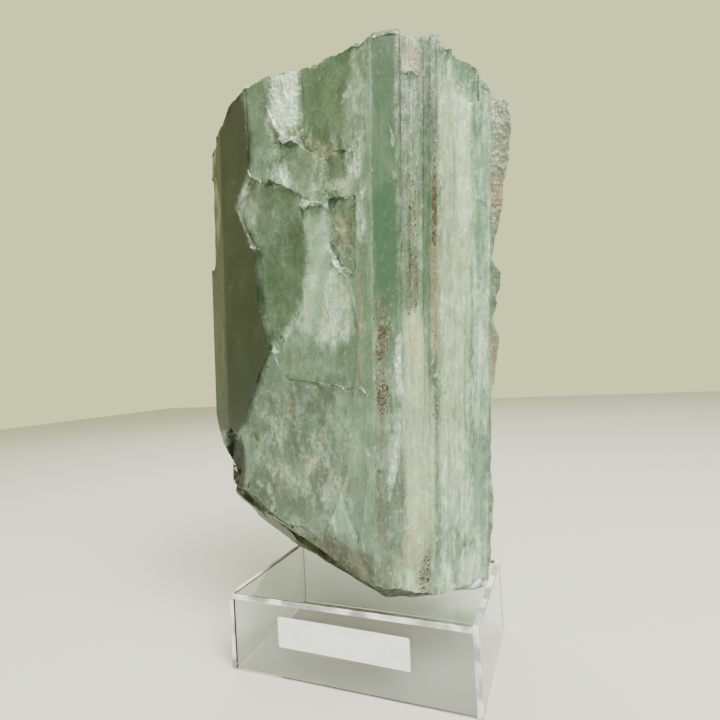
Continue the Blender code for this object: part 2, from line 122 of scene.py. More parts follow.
def shaped(name: str, bm: bmesh.types.BMesh, *finishes: bpy.types.Material) -> bpy.types.Object:
    """Turn a shape in millimetres into an object in the scene.

    Args:
        name: the piece's name.
        bm: the shape, which is used up.
        *finishes: its materials, in the order of their numbers on the faces.

    Returns:
        The piece.
    """
    bmesh.ops.scale(bm, vec=(MM, MM, MM), verts=bm.verts)
    mesh = bpy.data.meshes.new(name)
    bm.to_mesh(mesh)
    bm.free()
    return shown(name, mesh, *finishes)


def add(tree: bpy.types.NodeTree, kind: str, inputs: dict | None = None,
        **settings: object) -> bpy.types.Node:
    """Add a node, set its properties, and set or link its inputs.

    Args:
        tree: the tree to add to.
        kind: the node's type name.
        inputs: socket name or number to a plain value, a Value or another node's output.
        **settings: properties of the node.

    Returns:
        The new node.
    """
    made = tree.nodes.new(kind)
    for name, value in settings.items():
        setattr(made, name, value)
    for key, value in (inputs or {}).items():
        value = getattr(value, "socket", value)
        if isinstance(value, bpy.types.NodeSocket):
            tree.links.new(value, made.inputs[key])
        else:
            made.inputs[key].default_value = value
    return made


class Value:
    """A number that a node gives; sums and products of it add further nodes."""

    def __init__(self, socket: bpy.types.NodeSocket) -> None:
        """Keep the socket that the number comes from."""
        self.socket = socket

    def joined(self, operation: str, *others: object, clamp: bool = False) -> "Value":
        """Return the result of a maths operation on this number and others.

        Args:
            operation: the node's name for it.
            *others: further values or plain numbers.
            clamp: whether the result is kept between 0 and 1.

        Returns:
            The result.
        """
        made = add(self.socket.id_data, "ShaderNodeMath", dict(enumerate((self, *others))),
                   operation=operation, use_clamp=clamp)
        return Value(made.outputs[0])

    def __add__(self, other: object) -> "Value":
        """Return the sum."""
        return self.joined("ADD", other)

    def __sub__(self, other: object) -> "Value":
        """Return the difference."""
        return self.joined("SUBTRACT", other)

    def __mul__(self, other: object) -> "Value":
        """Return the product."""
        return self.joined("MULTIPLY", other)

    def uneven(self, amount: float) -> "Value":
        """Return a pattern of 0 to 1 made to swing around zero by about the amount."""
        return self * (4.0 * amount) - 2.0 * amount


class Pattern:
    """Builds one material's node tree out of short calls."""

    def __init__(self, name: str) -> None:
        """Start a material with an empty tree."""
        self.material = bpy.data.materials.new(name)
        self.material.use_nodes = True
        self.tree = self.material.node_tree
        self.tree.nodes.clear()

    def ramp(self, value: Value, low: float, high: float, start: float = 0.0,
             end: float = 1.0, kind: str = "SMOOTHSTEP") -> Value:
        """Turn a value into another that rises or falls smoothly.

        Args:
            value: the value to read.
            low: where the change starts.
            high: where it ends.
            start: the result up to low.
            end: the result from high on.
            kind: the node's name for the shape of the change.

        Returns:
            The new value.
        """
        made = add(self.tree, "ShaderNodeMapRange",
                   {"Value": value, "From Min": low, "From Max": high, "To Min": start,
                    "To Max": end}, interpolation_type=kind)
        return Value(made.outputs[0])

    def colours(self, value: Value,
                stops: tuple[tuple[float, str], ...]) -> bpy.types.NodeSocket:
        """Turn a value into a colour.

        Args:
            value: the value to read.
            stops: hex colours and the values that they stand at.

        Returns:
            The colour.
        """
        made = add(self.tree, "ShaderNodeValToRGB", {"Fac": value})
        while len(made.color_ramp.elements) < len(stops):
            made.color_ramp.elements.new(1.0)
        for element, (place, colour) in zip(made.color_ramp.elements, stops):
            element.position = place
            element.color = linear(colour)
        return made.outputs["Color"]

    def mix(self, factor: object, first: object, second: object,
            blend: str = "MIX") -> bpy.types.NodeSocket:
        """Blend two colours, given as sockets or linear colours.

        Args:
            factor: how much of the second one shows.
            first: the colour below.
            second: the colour on top.
            blend: the node's name for the way of blending.

        Returns:
            The blend.
        """
        made = add(self.tree, "ShaderNodeMix", {0: factor, 6: first, 7: second},
                   data_type="RGBA", blend_type=blend)
        return made.outputs[2]

    def attribute(self, name: str) -> Value:
        """Return a number stored on the mesh."""
        return Value(add(self.tree, "ShaderNodeAttribute", attribute_name=name).outputs["Fac"])

    def place(self, *sizes: float,
              turn: tuple[float, float, float] = LEAN) -> bpy.types.NodeSocket:
        """Return a position on the object, measured in a pattern's own lumps.

        Args:
            *sizes: how long a lump is each way, in millimetres.
            turn: how the pattern is turned on the object, in radians.

        Returns:
            The position.
        """
        source = add(self.tree, "ShaderNodeTexCoord").outputs["Object"]
        scale = tuple(size * MM for size in sizes)
        return add(self.tree, "ShaderNodeMapping",
                   {"Vector": source, "Rotation": turn, "Scale": scale},
                   vector_type="TEXTURE").outputs[0]

    def face_place(self, across: float, up: float) -> bpy.types.NodeSocket:
        """Return a position on the prism's sides, in lumps of a size in millimetres."""
        source = add(self.tree, "ShaderNodeUVMap", uv_map=GROWTH).outputs[0]
        return add(self.tree, "ShaderNodeMapping",
                   {"Vector": source, "Scale": (across / UV_UNIT, up / UV_UNIT, 1.0)},
                   vector_type="TEXTURE").outputs[0]

    def grain(self, place: bpy.types.NodeSocket, detail: float = 3.0, rough: float = 0.55,
              twist: float = 0.0) -> Value:
        """Return fractal noise between 0 and 1.

        Args:
            place: the position, in lumps.
            detail: how many finer layers lie on it.
            rough: how strong each is beside the one before.
            twist: how much the lumps swirl.

        Returns:
            The noise.
        """
        made = add(self.tree, "ShaderNodeTexNoise",
                   {"Vector": place, "Scale": 1.0, "Detail": detail, "Roughness": rough,
                    "Distortion": twist})
        return Value(made.outputs[0])

    def cells(self, place: bpy.types.NodeSocket, output: str = "Distance",
              metric: str = "EUCLIDEAN", feature: str = "F1") -> Value:
        """Return a property of a pattern of cells.

        Args:
            place: the position, in cells.
            output: which property.
            metric: how distance is counted, which sets the cells' shape.
            feature: what the distance is taken to.

        Returns:
            The property.
        """
        made = add(self.tree, "ShaderNodeTexVoronoi", {"Vector": place, "Scale": 1.0},
                   distance=metric, feature=feature)
        return Value(made.outputs[output])

    def bent(self, place: bpy.types.NodeSocket, size: float,
             amount: float) -> bpy.types.NodeSocket:
        """Return a position pushed about by noise, so that what is measured on it wanders.

        Args:
            place: the position to bend, in lumps of its own pattern.
            size: how long the bends are, in lumps.
            amount: how far they reach, in lumps.

        Returns:
            The bent position.
        """
        drift = add(self.tree, "ShaderNodeTexNoise",
                    {"Vector": place, "Scale": 1.0 / size, "Detail": 3.0, "Roughness": 0.6})
        return add(self.tree, "ShaderNodeVectorMath",
                   {0: drift.outputs["Color"], 1: (amount,) * 3, 2: place},
                   operation="MULTIPLY_ADD").outputs[0]

    def bump(self, height: Value, depth: float, under: object = None,
             strength: object = 1.0) -> bpy.types.NodeSocket:
        """Return the normals of a fine relief.

        Args:
            height: the relief's height, 0 to 1.
            depth: how deep it is, in metres.
            under: the normals of a relief that it lies on.
            strength: how much of it shows.

        Returns:
            The normals.
        """
        inputs = {"Height": height, "Distance": depth, "Strength": strength}
        if under is not None:
            inputs["Normal"] = under
        return add(self.tree, "ShaderNodeBump", inputs).outputs[0]

    def finish(self, **inputs: object) -> bpy.types.Material:
        """Close the tree with a Principled shader.

        Args:
            **inputs: the shader's inputs, with underscores for the spaces in their names.

        Returns:
            The finished material.
        """
        shader = add(self.tree, "ShaderNodeBsdfPrincipled",
                     {name.replace("_", " "): value for name, value in inputs.items()})
        output = add(self.tree, "ShaderNodeOutputMaterial")
        self.tree.links.new(shader.outputs[0], output.inputs["Surface"])
        return self.material


# ---------------------------------------------------------------- finishes

class Pigment(Enum):
    """What makes a place on the crystal look as it does; each is a layer on its mesh."""

    # milky and pale; on the front-left facets it is also a painted highlight, where a facet faces the
    # light
    LIGHT = "light"         # milky, pale
    DEEP = "deep"           # clear, deep green
    SHADE = "shade"         # in the stone's own shadow, olive
    CREAM = "cream"         # yellowish
    BROWN = "brown"         # brown film
    TAN = "tan"             # clay stain
    RUST = "rust"           # iron specks
    FROST = "frost"         # crushed, sugary white
    VEIL = "veil"           # fine white healed cracks
    SMOOTH = "smooth"       # a clean cleavage, without crumbs
    CRUMBLE = "crumble"     # how broken the surface is
    GROWN = "grown"         # a prism face as it grew, finely streaked


@dataclass(frozen=True)
class Beryl:
    """Aquamarine, a green-blue beryl: glassy prism faces, milky inside, sugary where crushed."""

    tones: tuple[tuple[float, str], ...] = (
        (0.00, "10160D"), (0.18, "273222"), (0.38, "3D5141"), (0.52, "4D6656"),
        (0.66, "668070"), (0.82, "88A18E"), (1.00, "B9CCB6"))
    clear: str = "366A54"
    yellow: str = "727E5E"
    cream: str = "939E78"
    # white of crushed stone; also the white of the painted glints and of the painted highlights on crests
    frost: str = "D3E1D6"
    frost_shade: str = "768C7F"
    brown: str = "4C442F"
    film: str = "5E4A2C"
    rust: str = "1C1006"
    tan: str = "8A7D5A"
    # dark olive of the painted shade: the shade layer darkens the colour towards it
    depths: str = "0D1308"
    ior: float = 1.575
    roughness: float = 0.27
    milk: float = 0.30              # how much each of these lightens or darkens the tone
    clearness: float = -0.27
    shadow: float = -0.18
    scatter: tuple[float, float, float] = (0.003, 0.0045, 0.0035)   # metres

    def material(self) -> bpy.types.Material:
        """Build the shader that blends the crystal's painted layers."""
        p = Pattern("beryl")
        clouds = p.grain(p.place(13.0, 13.0, 22.0), 3.0, 0.6, 0.8)
        lumps = p.grain(p.place(3.0, 3.0, 4.5), 4.0, 0.65, 0.5)
        crumbs = p.grain(p.place(1.1, 1.1, 1.4), 3.0, 0.7)
        mottle = p.grain(p.place(4.5, 4.5, 8.0), 7.0, 0.66, 0.3)
        dust = p.grain(p.place(0.45, 0.45, 0.6), 3.0, 0.7)
        flakes = p.bent(p.place(5.5, 5.5, 9.0), 0.9, 0.8)
        chips = p.bent(p.place(2.3, 2.3, 3.2), 0.9, 0.7)
        upright = p.grain(p.face_place(2.2, 5.0), 6.0, 0.7, 0.4)
        fine_streak = p.grain(p.face_place(0.55, 9.0), 3.0, 0.65, 0.2)
        streak = p.grain(p.face_place(1.7, 28.0), 4.0, 0.65, 0.3)
        column = p.grain(p.face_place(5.5, 70.0), 3.0, 0.55)
        blocks = p.cells(p.bent(p.face_place(4.0, 17.0), 0.5, 0.3), "Color", "CHEBYCHEV")
        small_blocks = p.cells(p.bent(p.face_place(1.8, 5.0), 0.6, 0.5), "Color", "CHEBYCHEV")

        def layer(pigment: Pigment, spread: float = 0.5, breakup: Value = lumps) -> Value:
            """Return a painted layer with its edge broken up by a pattern."""
            painted = p.attribute(pigment.value)
            loose = breakup.uneven(spread) * p.ramp(painted, 0.0, 0.3)
            return painted.joined("ADD", loose, clamp=True)

        crumble, grown, shade, rust, veil, smooth = (
            p.attribute(pigment.value)
            for pigment in (P.CRUMBLE, P.GROWN, P.SHADE, P.RUST, P.VEIL, P.SMOOTH))
        deep = layer(P.DEEP, 0.20, crumbs)
        calm = deep * -0.6 + 1.0
        tone = (layer(P.LIGHT, 0.25) * self.milk + 0.52 + deep * self.clearness
                + shade * self.shadow + clouds.uneven(0.12) + dust.uneven(0.10) * calm)
        broken = (mottle.uneven(0.16) + crumbs.uneven(0.09)
                  + p.cells(flakes, "Color").uneven(0.09) + p.cells(chips, "Color").uneven(0.07))
        lines = (fine_streak.uneven(0.07) + streak.uneven(0.12) + column.uneven(0.12)
                 + upright.uneven(0.17) + blocks.uneven(0.03) + small_blocks.uneven(0.0375))
        tone = tone + broken * (crumble * 0.75 + 0.25)
        tone = tone.joined("ADD", lines * (grown * calm), clamp=True)
        colour = p.colours(tone, self.tones)
        for share, tint in (
                (deep * 0.45, self.clear),
                (p.ramp(clouds + streak.uneven(0.1), 0.45, 0.75, 0.0, 0.30), self.yellow),
                (layer(P.CREAM, 0.5, streak) * 0.42, self.cream),
                (layer(P.BROWN, 0.7) * 0.75, self.brown),
                (layer(P.TAN, 0.7), self.tan)):
            colour = p.mix(share, colour, linear(tint))

        # fine white fibres where cracks have healed, in wandering sheets
        fibre = p.grain(p.place(1.7, 1.7, 1.9, turn=(0.4, 0.7, 0.2)), 7.0, 0.72, 0.8)
        crest = (fibre * 2.0 - 1.0).joined("ABSOLUTE")
        threads = p.ramp(crest, 0.0, 0.05, 1.0, 0.0) * p.ramp(mottle, 0.45, 0.60)
        colour = p.mix(threads * veil * 0.85, colour, linear(self.frost))

        # crests between flakes are bruised white, and lightened further as painted highlights on the
        # edges
        edge = p.ramp(p.cells(flakes, feature="DISTANCE_TO_EDGE"), 0.0, 0.09, 1.0, 0.0)
        finer = p.ramp(p.cells(chips, feature="DISTANCE_TO_EDGE"), 0.0, 0.12, 1.0, 0.0) * 0.7
        bruise_and_highlight = edge.joined("MAXIMUM", finer) * p.ramp(mottle, 0.42, 0.62)
        colour = p.mix(bruise_and_highlight * crumble * 0.28, colour, linear(self.frost))

        # crushed places: sugary, with painted glints, grains mixed to white one by one as painted
        # highlights
        powder = p.grain(p.place(1.3, 1.3, 1.7), 7.0, 0.75)
        sugar_grains = p.place(0.7, 0.7, 0.9)
        frost = p.ramp(layer(P.FROST, 0.45, mottle), 0.08, 0.95, 0.0, 0.72)
        sugar = p.mix(p.ramp(powder, 0.36, 0.66), linear(self.frost_shade), linear(self.frost))
        colour = p.mix(frost * p.ramp(mottle, 0.30, 0.58, 0.45, 1.0), colour, sugar)
        painted_glints = p.ramp(p.cells(sugar_grains, "Color"), 0.74, 0.86) * p.ramp(powder, 0.52, 0.62)
        open_face = grown * 0.30 * (deep * -1.0 + 1.0) + 0.06
        colour = p.mix(painted_glints * (frost * 0.8 + crumble * 0.30 + open_face), colour,
                       linear(self.frost))
        crushed = p.ramp(p.grain(p.face_place(1.6, 4.0), 7.0, 0.76, 0.4), 0.52, 0.72) * grown
        colour = p.mix(crushed * (deep * -0.40 + 0.55), colour, sugar)

        # iron: dark specks in a thinner brown film
        film = p.ramp(rust + lumps.uneven(0.4), 0.2, 1.0) * p.ramp(rust, 0.0, 0.25)
        colour = p.mix(film * 0.36, colour, linear(self.film))
        specks = (p.grain(p.place(0.75, 0.75, 0.9), 2.0, 0.6)
                  - p.ramp(rust, 0.0, 1.0, 0.73, 0.47))
        colour = p.mix(p.ramp(specks, 0.0, 0.03) * p.ramp(rust, 0.0, 0.08), colour,
                       linear(self.rust))
        # painted shade: the shade layer darkens the whole colour towards the dark olive
        colour = p.mix(p.ramp(shade, 0.0, 1.0, 0.0, 0.95, "LINEAR"), colour, linear(self.depths))

        ribbed = grown * p.ramp(smooth, 0.0, 1.0, 0.7, 0.1)
        rough = crumble * 0.8
        relief = None
        for height, depth, strength in (
                (fine_streak, 0.00016, ribbed), (upright, 0.0007, ribbed),
                (p.cells(flakes).joined("POWER", 2.0), 0.0016, rough),
                (p.cells(p.place(1.5, 1.5, 1.9)).joined("POWER", 2.0), 0.0006, rough),
                (p.cells(sugar_grains).joined("POWER", 2.0), 0.0004, frost),
                (crumbs, 0.0003, crumble * 0.6 + 0.12)):
            relief = p.bump(height, depth, relief, strength)
        gloss = layer(P.BROWN) * 0.25 + (frost * 0.16 + self.roughness)
        return p.finish(Base_Color=colour, Roughness=gloss, IOR=self.ior, Normal=relief,
                        Subsurface_Weight=0.2, Subsurface_Radius=self.scatter,
                        Subsurface_Scale=0.5)


@dataclass(frozen=True)
class Acrylic:
    """Cast clear acrylic sheet with polished faces."""

    tint: str = "F9FCFA"
    ior: float = 1.49

    def material(self) -> bpy.types.Material:
        """Build the clear shader."""
        p = Pattern("clear_acrylic")
        relief = p.bump(p.grain(p.place(22.0, 22.0, 22.0), 1.0), 0.00002)
        return p.finish(Base_Color=linear(self.tint), Roughness=0.0, IOR=self.ior,
                        Transmission_Weight=1.0, Normal=relief)


@dataclass(frozen=True)
class SawnAcrylic:
    """The sheet's sawn edges, glued: satin white with clear streaks along the cut."""

    white: str = "E4E6EA"
    grey: str = "A9ABB4"
    ior: float = 1.49

    def material(self) -> bpy.types.Material:
        """Build the satin shader."""
        p = Pattern("sawn_acrylic")
        broad = p.grain(p.place(9.0, 9.0, 9.0), 2.0, 0.5)
        marks = p.grain(p.place(1.2, 1.2, 1.2), 3.0, 0.6)
        colour = p.mix(p.ramp(broad, 0.35, 0.65), linear(self.white), linear(self.grey))
        clear = p.ramp(broad + marks * 0.3, 0.55, 0.75,
                       0.1, 0.5)
        return p.finish(Base_Color=colour, Roughness=0.3, IOR=self.ior,
                        Transmission_Weight=clear, Normal=p.bump(marks, 0.0001))


@dataclass(frozen=True)
class Paper:
    """Uncoated printer paper: matt, slightly blue-white, with short fibres."""

    colour: str = "D9DCE8"
    shade: str = "C4C7D6"
    roughness: float = 0.85

    def material(self) -> bpy.types.Material:
        """Build the paper shader."""
        p = Pattern("white_paper")
        fibres = p.grain(p.place(0.25, 0.25, 1.6), 3.0, 0.7)
        mottled = p.grain(p.place(8.0, 8.0, 8.0), 2.0)
        colour = p.mix(p.ramp(mottled, 0.3, 0.8, 0.0, 0.6), linear(self.colour),
                       linear(self.shade))
        colour = p.mix(p.ramp(fibres, 0.5, 0.7, 0.0, 0.25), colour, linear("FFFFFF"))
        return p.finish(Base_Color=colour, Roughness=self.roughness,
                        Normal=p.bump(fibres, 0.00003))


@dataclass(frozen=True)
class Putty:
    """Mineral-mounting putty: a dull, lavender-grey wax pressed flat by hand."""

    colour: str = "9294A6"
    pale: str = "ABACBC"
    roughness: float = 0.55

    def material(self) -> bpy.types.Material:
        """Build the putty shader."""
        p = Pattern("grey_putty")
        kneaded = p.grain(p.place(5.0, 5.0, 5.0), 3.0, 0.5, 0.8)
        colour = p.mix(p.ramp(kneaded, 0.3, 0.75), linear(self.colour), linear(self.pale))
        return p.finish(Base_Color=colour, Roughness=self.roughness,
                        Normal=p.bump(kneaded, 0.0003), Subsurface_Weight=0.1,
                        Subsurface_Radius=(0.001, 0.001, 0.0012))


@dataclass(frozen=True)
class Limonite:
    """Limonite, an earthy iron oxide: dull, dark brown grains in pits of the crystal."""

    colour: str = "1C1008"
    pale: str = "4E3018"
    roughness: float = 0.8

    def material(self) -> bpy.types.Material:
        """Build the grains' shader."""
        p = Pattern("limonite")
        patches = p.grain(p.place(1.5, 1.5, 1.5), 3.0)
        colour = p.mix(p.ramp(patches, 0.3, 0.7), linear(self.colour), linear(self.pale))
        return p.finish(Base_Color=colour, Roughness=self.roughness,
                        Normal=p.bump(p.grain(p.place(0.2, 0.2, 0.2), 2.0), 0.00005))


@dataclass(frozen=True)
class StudioFloor:
    """Matt pale card under the object."""

    colour: str = "B4B6B4"

    def material(self) -> bpy.types.Material:
        """Build the floor's shader."""
        p = Pattern("studio_floor")
        return p.finish(Base_Color=linear(self.colour), Roughness=0.8)


# ---------------------------------------------------------------- the crystal's geometry

def heading(degrees: float) -> np.ndarray:
    """Return the level unit vector at a heading, counted from +X towards +Y."""
    return np.array((cos(radians(degrees)), sin(radians(degrees)), 0.0))


@dataclass(frozen=True)
class PrismFace:
    """A flat face of the prism, in the crystal's frame, in millimetres."""

    name: str
    start: np.ndarray
    across: np.ndarray
    out: np.ndarray
    girth: float            # how far round the prism it starts

    def depth(self, points: np.ndarray) -> np.ndarray:
        """Return how far behind the face each point lies."""
        return -(points - self.start) @ self.out

    def run(self, points: np.ndarray) -> np.ndarray:
        """Return how far across the face each point lies."""
        return (points - self.start) @ self.across

    def seen(self, points: np.ndarray, eye: np.ndarray) -> np.ndarray:
        """Bring points onto the face's plane along the lines to the eye.

        Args:
            points: places in the crystal's frame.
            eye: the place looked from.

        Returns:
            How far across and how far up the face each one lines up with.
        """
        rays = points - eye
        toward = (self.start - eye) @ self.out
        reach = toward / (rays @ self.out)
        landed = eye + rays * reach[:, None]
        return np.stack((self.run(landed), landed[:, 2]), 1)


class CrystalFrame:
    """Where the crystal stands, and its prism faces."""

    def __init__(self) -> None:
        """Work the frame out from the riser's place and the crystal's lean."""
        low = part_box("stand_left_plate")[0]
        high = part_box("stand_right_plate")[1]
        self.stand = np.array(((low.x + high.x) / 2, (low.y + high.y) / 2, 0.0)) / MM
        self.turn = np.array(Euler(LEAN).to_matrix())
        self.origin = self.stand + (0.0, 0.0, FOOT_LEVEL)
        self.eye = self.inward(self.stand + EYE)
        self.faces = {}
        ridge = np.array((*RIDGE, 0.0))
        corner = ridge
        girth = 0.0
        for name, towards, width in PLAN:
            along = heading(towards)
            out = heading(towards - 90.0)
            self.faces[name] = PrismFace(name, corner, along, out, girth)
            corner = corner + along * width
            girth += width
        self.front_right = self.faces["front_right"]
        left = self.faces["front_left"]
        self.front_left = PrismFace("front_left", ridge, -left.across, left.out, 0.0)

    def depths(self, points: np.ndarray) -> np.ndarray:
        """Return how far behind each prism face, in their order, each place lies."""
        return np.stack([face.depth(points) for face in self.faces.values()])

    def inward(self, points: np.ndarray) -> np.ndarray:
        """Turn world places in millimetres into the crystal's frame."""
        return (points - self.origin) @ self.turn

    def outward(self, points: np.ndarray) -> np.ndarray:
        """Turn places in the crystal's frame into world millimetres."""
        return points @ self.turn.T + self.origin


def refined(points: np.ndarray, triangles: np.ndarray, wanted: Callable,
            rounds: int = 30) -> tuple[np.ndarray, np.ndarray]:
    """Halve triangles across their longest edge until none is longer than wanted.

    Neighbours are halved along with them, so the mesh stays closed.

    Args:
        points: vertex places.
        triangles: three vertex numbers each.
        wanted: takes places and returns the longest edge allowed there.
        rounds: the most times that edges are halved.

    Returns:
        The finer places and triangles.
    """
    for _ in range(rounds):
        rows = np.arange(len(triangles))
        sides = np.sort(triangles[:, [[0, 1], [1, 2], [2, 0]]], 2)
        keys, which = np.unique(sides[..., 0] * len(points) + sides[..., 1], return_inverse=True)
        which = which.reshape(-1, 3)
        ends = points[np.stack((keys // len(points), keys % len(points)), 1)]
        length = np.linalg.norm(ends[:, 0] - ends[:, 1], axis=1)
        middle = ends.mean(1)
        longest = length[which].argmax(1)
        first = which[rows, longest]
        marked = np.zeros(len(keys), bool)
        marked[first[(length > wanted(middle))[first]]] = True
        if not marked.any():
            break
        while True:
            more = first[marked[which].any(1)]
            if marked[more].all():
                break
            marked[more] = True
        number = np.full(len(keys), -1)
        number[marked] = len(points) + np.arange(marked.sum())
        points = np.concatenate((points, middle[marked]))
        order = (longest[:, None] + np.arange(3)) % 3
        a, b, c = np.take_along_axis(triangles, order, 1).T
        ab, bc, ca = np.take_along_axis(number[which], order, 1).T
        cut = ab >= 0
        pieces = [np.stack((a, b, c), 1)[~cut]]
        for whole, split in (((a, ab, c), ca), ((ab, b, c), bc)):
            plain = cut & (split < 0)
            pieces.append(np.stack(whole, 1)[plain])
        left = cut & (ca >= 0)
        pieces += [np.stack((a, ab, ca), 1)[left], np.stack((ca, ab, c), 1)[left]]
        right = cut & (bc >= 0)
        pieces += [np.stack((ab, b, bc), 1)[right], np.stack((ab, bc, c), 1)[right]]
        triangles = np.concatenate(pieces)
    return points, triangles


def thinned(points: np.ndarray, triangles: np.ndarray,
            most: int) -> tuple[np.ndarray, np.ndarray]:
    """Collapse edges, the shortest of the flat parts first, down to a number of triangles.

    Args:
        points: the places, mm.
        triangles: their numbers, three to a row.
        most: how many triangles may stay.

    Returns:
        The places and triangles that stay, still closed.
    """
    fine = bpy.data.meshes.new("fine")
    fine.from_pydata(points.tolist(), [], triangles.tolist())
    holder = bpy.data.objects.new("fine", fine)
    bpy.context.scene.collection.objects.link(holder)
    holder.modifiers.new("fewer", "DECIMATE").ratio = min(1.0, most / len(triangles))
    fewer = bpy.data.meshes.new_from_object(
        holder.evaluated_get(bpy.context.evaluated_depsgraph_get()))
    fewer.calc_loop_triangles()
    places = np.zeros(len(fewer.vertices) * 3)
    fewer.vertices.foreach_get("co", places)
    corners = np.zeros(len(fewer.loop_triangles) * 3, dtype=np.int32)
    fewer.loop_triangles.foreach_get("vertices", corners)
    bpy.data.objects.remove(holder)
    for mesh in (fine, fewer):
        bpy.data.meshes.remove(mesh)
    return places.reshape(-1, 3), corners.reshape(-1, 3)


def smoothed(values: np.ndarray, triangles: np.ndarray, rounds: int) -> np.ndarray:
    """Spread values over neighbouring vertices.

    Args:
        values: one number for each vertex.
        triangles: three vertex numbers each.
        rounds: how many times each takes the mean with its neighbours.

    Returns:
        The evened values.
    """
    sides = np.concatenate((triangles[:, (0, 1)], triangles[:, (1, 2)], triangles[:, (2, 0)]))
    sides = np.concatenate((sides, sides[:, ::-1]))
    count = np.bincount(sides[:, 0], minlength=len(values))
    for _ in range(rounds):
        total = np.bincount(sides[:, 0], weights=values[sides[:, 1]], minlength=len(values))
        values = (values + total) / (1 + count)
    return values


def rise(values: np.ndarray, low: float, high: float) -> np.ndarray:
    """Return a smooth step from 0 at low to 1 at high."""
    part = np.clip((values - low) / (high - low), 0.0, 1.0)
    return part * part * (3.0 - 2.0 * part)


def noise_at(points: np.ndarray, size: float, seed: float) -> np.ndarray:
    """Return a vector of noise, about -1 to 1 each way, for every place.

    Args:
        points: places in millimetres.
        size: how far apart the noise's lumps are.
        seed: picks one pattern.

    Returns:
        One vector for each place.
    """
    shift = Vector((seed * 31.7, seed * 17.3, seed * 5.9))
    scale = 1.0 / size
    return np.array([noise.noise_vector(Vector(place) * scale + shift) for place in points])


def hashed(cells: np.ndarray, salt: int) -> np.ndarray:
    """Return a random number from 0 to 1 for every whole-numbered cell.

    Args:
        cells: three whole numbers each.
        salt: picks one set of random numbers.

    Returns:
        One number for each cell.
    """
    mixed = (cells[:, 0] * 73856093) ^ (cells[:, 1] * 19349663) ^ (cells[:, 2] * 83492791)
    mixed = (mixed ^ (salt * 2654435761)) & 0xFFFFFFFF
    for shift, factor in ((16, 0x45D9F3B), (15, 0x2C1B3C6D), (16, 1)):
        mixed = ((mixed ^ (mixed >> shift)) * factor) & 0xFFFFFFFF
    return mixed / 0xFFFFFFFF


def scoops(points: np.ndarray, size: float, salt: int, tilt: float = 0.9) -> np.ndarray:
    """Return the height of a surface broken into shell-like scoops with crests between.

    Args:
        points: places in millimetres.
        size: how far apart the scoops are.
        salt: picks one pattern.
        tilt: how unlike their neighbours the scoops lean.

    Returns:
        Heights of about -0.5 to 0.5 for each place.
    """
    scaled = points / size
    home = np.floor(scaled).astype(np.int64)
    height = np.full(len(points), 9.0)
    for step in np.ndindex(3, 3, 3):
        cell = home + (np.array(step) - 1)
        middle = cell + np.stack([hashed(cell, salt * 8 + axis) for axis in range(3)], 1)
        lean = np.stack([hashed(cell, salt * 8 + axis) for axis in range(3, 6)], 1) - 0.5
        gap = scaled - middle
        level = 0.4 * hashed(cell, salt * 8 + 6)
        height = np.minimum(height, level + (gap ** 2).sum(1) + tilt * (gap * lean).sum(1))
    return height - 0.35


# ---------------------------------------------------------------- painting the crystal

def gap_to(line: np.ndarray, places: np.ndarray) -> np.ndarray:
    """Measure how far places are from a line.

    Args:
        line: the (across, up) points that it runs through.
        places: (across, up) places.

    Returns:
        The distance of each place, mm.
    """
    gaps = []
    for start, end in zip(line[:-1], line[1:]):
        run = end - start
        part = np.clip(((places - start) @ run) / (run @ run), 0.0, 1.0)
        gaps.append(np.linalg.norm(places - start - part[:, None] * run, axis=1))
    return np.minimum.reduce(gaps)


@dataclass(frozen=True)
class Patch:
    """A painted area with a straight-sided outline of (across, up) points."""

    pigment: Pigment
    strength: float
    feather: float
    outline: tuple[tuple[float, float], ...]

    def cover(self, places: np.ndarray) -> np.ndarray:
        """Work out how thick the paint lies.

        Args:
            places: (across, up) places on the face.

        Returns:
            From 0 to the strength for each place.
        """
        inside = np.zeros(len(places), bool)
        corners = np.array((*self.outline, self.outline[0]), float)
        nearest = gap_to(corners, places)
        for start, end in zip(corners[:-1], corners[1:]):
            run = end - start
            straddles = (start[1] > places[:, 1]) != (end[1] > places[:, 1])
            with np.errstate(divide="ignore", invalid="ignore"):
                crossing = start[0] + run[0] * (places[:, 1] - start[1]) / run[1]
            inside ^= straddles & (places[:, 0] < crossing)
        signed = np.where(inside, nearest, -nearest)
        return self.strength * rise(signed, -self.feather, self.feather)


@dataclass(frozen=True)
class Stroke:
    """A painted line through (across, up) points."""

    pigment: Pigment
    strength: float
    width: float
    line: tuple[tuple[float, float], ...]

    def cover(self, places: np.ndarray) -> np.ndarray:
        """Work out how thick the paint lies.

        Args:
            places: (across, up) places on the face.

        Returns:
            From 0 to the strength for each place.
        """
        nearest = gap_to(np.array(self.line, float), places)
        return self.strength * (1.0 - rise(nearest, 0.25 * self.width, self.width))


def area(*outline: tuple[float, float], **coats: tuple[float, float]) -> list[Patch]:
    """Paint one outline with several pigments.

    Args:
        *outline: (across, up) points.
        **coats: (strength, feather) for each pigment, by its layer's name.

    Returns:
        One patch for each pigment.
    """
    return [Patch(Pigment(name), *coat, outline) for name, coat in coats.items()]


def line(*points: tuple[float, float], **coats: tuple[float, float]) -> list[Stroke]:
    """Paint one line through (across, up) points with pigments given as (strength, width)."""
    return [Stroke(Pigment(name), *coat, points) for name, coat in coats.items()]


def dots(*places: tuple[float, float, float], **coats: float) -> list[Stroke]:
    """Paint round spots, each (across, up, radius), with pigments given as strengths."""
    return [Stroke(Pigment(name), strength, radius, ((across, up), (across + SPOT, up)))
            for name, strength in coats.items() for across, up, radius in places]


SPOT = 0.01                     # a spot is a stroke of this length
P = Pigment

